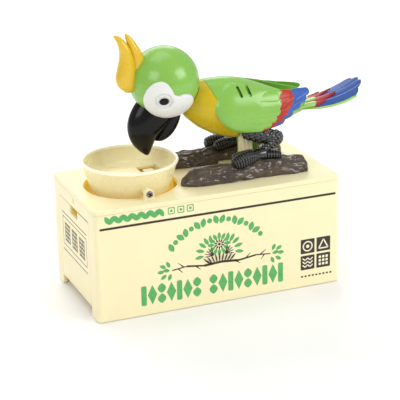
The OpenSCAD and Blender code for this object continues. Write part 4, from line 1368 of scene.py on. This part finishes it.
LEG_Y = -13.0
BRANCH = [(-17.4, -18.9, 74.5, 2.6), (-13.8, -19.0, 75.2, 4.6), (-9.0, -19.2, 76.0, 6.5),
          (-3, -19.4, 76.4, 7.4), (8, -19.7, 76.3, 7.6), (20, -19.6, 76.6, 8.3), (33, -19.0, 77.0, 8.4),
          (46, -18.9, 77.0, 8.2), (57, -20.0, 76.2, 8.0), (65, -20.5, 75.9, 7.6), (70.6, -20.8, 75.4, 6.4)]
KNOTS = [(-8, 0.9, 3.4), (-1, 2.2, 2.6), (9, 0.6, 2.2), (17, 2.4, 2.4), (30, 0.4, 2.4), (39, 2.6, 2.4),
         (46, 1.5, 2.2), (55, 0.8, 3.0), (62, 1.9, 3.0), (66, 0.6, 2.4)]     # x, angle, size
FOOT_X, FOOT_TOP, FOOT_Y = (21, 55), 76.3, -14.15     # the bracket's foot, that the bark keeps clear of


def branch(name, seed):
    """A half-round branch with flowing bark ridges, knots and blunt ends."""
    path, radii = thick_spline(BRANCH, 22)
    total = len(path) - 1
    rings = []
    for i, (p, r) in enumerate(zip(path, radii)):
        end = min(1.0, min(i, total - i) / 12)
        r *= math.sqrt(1 - (1 - end) ** 2 * 0.985)
        ring = []
        for a in angles(96):
            c, s = math.cos(a), math.sin(a)
            at = Vector((p.x * 0.075 + seed, c * 1.1, s * 1.1))
            warp = noise.noise(at * 1.3) * 1.2
            flow = noise.noise(Vector((at.x * 0.8 + warp * 0.4, c * 2.3 + warp, s * 2.3 + seed)))
            ridges = 1 - abs(noise.noise(Vector((at.x * 1.1, c * 2.6 + warp, s * 2.6 - seed)))) * 3.2
            fine = noise.noise(Vector((p.x * 0.24, c * 3.0, s * 3.0 + seed)))
            knot = 0.0
            for kx, ka, size in KNOTS:
                off = math.hypot(p.x - kx - seed % 3, (a - ka) * r)
                knot += 0.9 * math.exp(-(off / size) ** 2) - 1.2 * math.exp(-(off / (0.4 * size)) ** 2)
            reach = r + (1.35 * flow + 0.7 * max(0.0, ridges) + 0.3 * fine + knot) * end - 0.45
            y, z = p.y + reach * c, max(p.z + reach * s, TOP_Z + 0.02)
            if FOOT_X[0] < p.x < FOOT_X[1] and z < FOOT_TOP:
                y = min(y, FOOT_Y)
            ring.append((p.x, y, z))
        rings.append(ring)
    return loft(name, rings)


def branches():
    """Two branches of different bark; the far one is made on the near side and mirrored."""
    near, other = branch("branch_near", 3.1), branch("bark_form", 8.4)
    far = mirrored(other, "branch_far")
    bpy.data.objects.remove(other)
    for log, node in ((near, "near_branch"), (far, "far_branch")):
        place(log, "base", [bark], [node], sharp=60)


def toe(points, ribs):
    """A ribbed toe like a string of beads, round at its tip; points carry their radius."""
    path, radii = thick_spline(points, 44)
    total = len(path) - 1
    rings = []
    for i, r in enumerate(radii):
        groove = abs(math.cos(math.pi * ribs * i / total))
        cap = max(0.0, 1 - (total - i) / (0.16 * total))
        r = (r - 0.95 + 1.05 * groove ** 0.5) * math.sqrt(max(0.004, 1 - cap * cap))
        rings.append(path_ring(path, i, r, 32))
    return loft("toe", rings)


def foot_form():
    """The near foot: two toes forwards, one back, and the pin boss on top."""
    toes = [toe([(35, -19.2, 86.2, 2.9), (30, -21.2, 86.9, 4.3), (25, -22.8, 86.6, 4.9),
                 (20.4, -23.6, 85.6, 4.7), (16.4, -23.8, 84.6, 3.7)], 11),
            toe([(36, -17.0, 86.2, 2.8), (30, -16.0, 86.6, 3.8), (25, -15.6, 85.9, 4.0),
                 (19.6, -15.5, 84.6, 3.4)], 10),
            toe([(38, -18.2, 86.4, 3.4), (43.5, -18.6, 86.0, 3.2), (49, -19.0, 85.4, 3.2),
                 (53.4, -19.0, 84.4, 2.6)], 9)]
    ankle = tube("ankle", spline([(34.0, -18, 86.2), (38.5, -17.8, 87.2), (43.0, -17.6, 87.0)], 10), 3.9, 28)
    boss = revolve("boss", [(0.05, 87.0), (3.0, 87.0), (3.0, 90.0), (2.7, 90.4), (2.1, 90.4), (1.9, 90.0),
                            (1.75, 89.2), (0.9, 89.1), (0.05, 89.4)], Vector((31.4, -17.0, 0)), 48)
    return joined("foot", toes + [ankle, boss])


def scaled_bone(name, a, b, ra, rb, flat, rows, count, deep, cross=False):
    """A leg bone: a flattened capsule covered with rows of raised scales, or with plain cross ribs."""
    a, b = Vector(a), Vector(b)
    way = (b - a).normalized()
    up = way.cross(Vector((0, 1, 0))).normalized()
    side = up.cross(way).normalized()
    reach = (b - a).length
    rings, steps = [], 120
    for i in range(1, steps):
        d = -ra + (reach + ra + rb) * (1 - math.cos(math.pi * i / steps)) / 2
        if d < 0:
            grow = math.sqrt(max(0.0, ra * ra - d * d))
        elif d > reach:
            grow = math.sqrt(max(0.0, rb * rb - (d - reach) ** 2))
        else:
            grow = ra + (rb - ra) * d / reach
        v = rows * (d + ra) / (reach + ra + rb)
        ring = []
        for phi in angles(120):
            u = count * phi / math.pi
            if cross:
                raised = abs(math.sin(math.pi * v)) ** 0.6
            else:
                raised = (abs(math.sin(math.pi * (u / 2 + v))) * abs(math.sin(math.pi * (u / 2 - v)))) ** 0.5
            r = max(grow + deep * (raised - 0.75) * min(1.0, grow / 2), 0.05)
            ring.append(a + way * d + up * (r * math.cos(phi)) + side * (r * flat * math.sin(phi)))
        rings.append(ring)
    return loft(name, rings)


def legs():
    parts = {"foot": foot_form(),
             "shank": scaled_bone("shank", (40.3, -17.4, 87.8), (51.4, -14.4, 94.4), 3.1, 3.3, 0.66,
                                  rows=8, count=5, deep=0.9, cross=True),
             "thigh": scaled_bone("thigh", (HIP.x, LEG_Y, HIP.z), (KNEE.x + 0.4, LEG_Y, KNEE.z - 0.5),
                                  4.9, 5.5, 0.6, rows=7, count=6, deep=1.05)}
    for kind, near in parts.items():
        far = mirrored(near, kind + "_far")
        near.name = kind + "_near"
        place(near, "base", [leg_black], ["near_" + kind], sharp=75)
        place(far, "base", [leg_black], ["far_" + kind], sharp=75)


# ---------------------------------------------------------------- mechanism and small parts

def refined(node, material, body, width):
    """The node's own form with its edges broken and its flat faces cleaned up."""
    source = frame["nodes"][node]
    piece = make(node + "_piece", [v.co / MM for v in source.data.vertices],
                 [list(f.vertices) for f in source.data.polygons])

    def work(bm):
        bmesh.ops.remove_doubles(bm, verts=bm.verts, dist=WELD_GAP)
        bmesh.ops.dissolve_limit(bm, angle_limit=math.radians(2), verts=bm.verts, edges=bm.edges)
    edit(piece, work)
    bevel(piece, width, 2, 42)
    return place(piece, body, [material], [node], weighted=True)


REFINED = [("base_plate", cream, "base", "cream_plastic", 0.3),
           # the partition takes the amber painted glow
           ("partition", amber_painted_glow, "base", "cream_plastic", 0.3),
           ("battery_tray", cream, "base", "cream_plastic", 0.3),
           ("battery_door", cream, "battery_door", "cream_plastic", 0.25),
           ("batteries", jacket, "base", "cell_jacket", 0.5),
           ("trip_lever", cream, "coin_trip", "cream_plastic", 0.3),
           ("gear_frame", natural, "base", "natural_plastic", 0.25),
           ("gear_plate", natural, "base", "natural_plastic", 0.25),
           ("motor", plated, "base", "plated_steel", 0.35),
           ("hip_bracket", cream, "base", "cream_plastic", 0.3),
           ("body_lever", green, "bird", "green_plastic", 0.3),
           ("hip_pin", plated, "base", "plated_steel", 0.3)]

KEPT = {"battery_contacts": brass, "base_screws": screw_steel, "bowl_spring": plated, "leaf_switch": brass,
        "motor_pinion": gear_white, "gear_screws": screw_steel, "axles": plated, "first_gear": gear_white,
        "second_gear": gear_red, "drive_gear": gear_white, "bracket_screws": screw_steel,
        "branch_screws": screw_steel, "leg_pins": dark_steel_and_recess_shade, "drive_sector": green,
        "sector_screws": screw_steel, "body_screws": screw_steel}


def mechanism():
    """CAD nodes with broken edges, and those that stay as they are with a new material."""
    for node, material, body, slot, width in REFINED:
        refined(node, material, body, width)
    for node, material in KEPT.items():
        obj = frame["nodes"][node]
        obj.data.materials.clear()
        obj.data.materials.append(material)


# ---------------------------------------------------------------- stage

VIEW_AZ, VIEW_EL, VIEW_ROLL = -21.80, 19.61, -1.17
VIEW_AIM = Vector((0.0031, 0, 0.0552))
VIEW_FAR = 0.9947
VIEW_LENS = 135.85


def camera():
    """The picture's own angle, fitted to the box's corners."""
    data = bpy.data.cameras.new("camera")
    data.sensor_width = 36
    data.lens = VIEW_LENS
    data.clip_start, data.clip_end = 0.01, 20
    obj = bpy.data.objects.new("camera", data)
    bpy.context.scene.collection.objects.link(obj)
    az, el = math.radians(VIEW_AZ), math.radians(VIEW_EL)
    back = Vector((math.sin(az) * math.cos(el), -math.cos(az) * math.cos(el), math.sin(el)))
    obj.location = VIEW_AIM + back * VIEW_FAR
    level = back.to_track_quat("Z", "Y").to_matrix().to_4x4()
    turn = level @ Matrix.Rotation(math.radians(VIEW_ROLL), 4, "Z")
    obj.rotation_mode = "QUATERNION"
    obj.rotation_quaternion = turn.to_quaternion()
    bpy.context.scene.camera = obj


def softbox(name, place_at, aim, size, watts, shiny=True):
    """An area light turned to its aim; one that isn't shiny leaves no reflections."""
    data = bpy.data.lights.new(name, "AREA")
    data.shape = "RECTANGLE"
    data.size, data.size_y = size
    data.energy = watts
    obj = bpy.data.objects.new(name, data)
    bpy.context.scene.collection.objects.link(obj)
    obj.location = place_at
    obj.visible_glossy = shiny
    obj.rotation_mode = "QUATERNION"
    obj.rotation_quaternion = (Vector(aim) - Vector(place_at)).to_track_quat("-Z", "Y")


def studio():
    floor = make("floor", [(-3, -3, 0), (3, -3, 0), (3, 3, 0), (-3, 3, 0)], [(0, 1, 2, 3)])
    made = Shader("pale_floor")
    made.colour(made.ramp(made.noise(6, 3.0), (0.92, 0.92, 0.91), (0.95, 0.95, 0.945)))
    made.set(Roughness=0.75)
    floor.data.materials.append(made.material)
    floor.location.z = cad_box[0].z - 0.0004
    softbox("key", (0.86, -0.91, 0.77), (0, 0, 0.08), (0.8, 0.68), 8.8)
    softbox("left", (-1.15, -0.7, 0.85), (0, 0, 0.06), (0.8, 0.7), 5.4)
    softbox("top", (-0.1, 0.25, 1.2), (0, 0, 0.1), (0.9, 0.7), 3.0)
    softbox("rim", (0.1, 1.1, 0.62), (0, 0, 0.14), (1.1, 0.45), 2.6)
    softbox("back", (0.0, 1.9, 1.3), (0, 1.3, 0), (2.4, 1.0), 26, shiny=False)
    world = bpy.data.worlds.new("studio")
    world.use_nodes = True
    sky = world.node_tree.nodes["Background"]
    sky.inputs["Color"].default_value = (1.0, 1.0, 1.0, 1)
    sky.inputs["Strength"].default_value = 0.52
    bpy.context.scene.world = world
    bpy.context.scene.view_settings.view_transform = "Standard"


def build():
    camera()
    studio()
    box_shell()
    top_cover()
    coin_door()
    coin_bowl()
    pivot_screws()
    front_print()
    door_print()
    body_shells()
    wings()
    tail()
    head()
    neck()
    face()
    crest()
    beak()
    branches()
    legs()
    mechanism()


build()
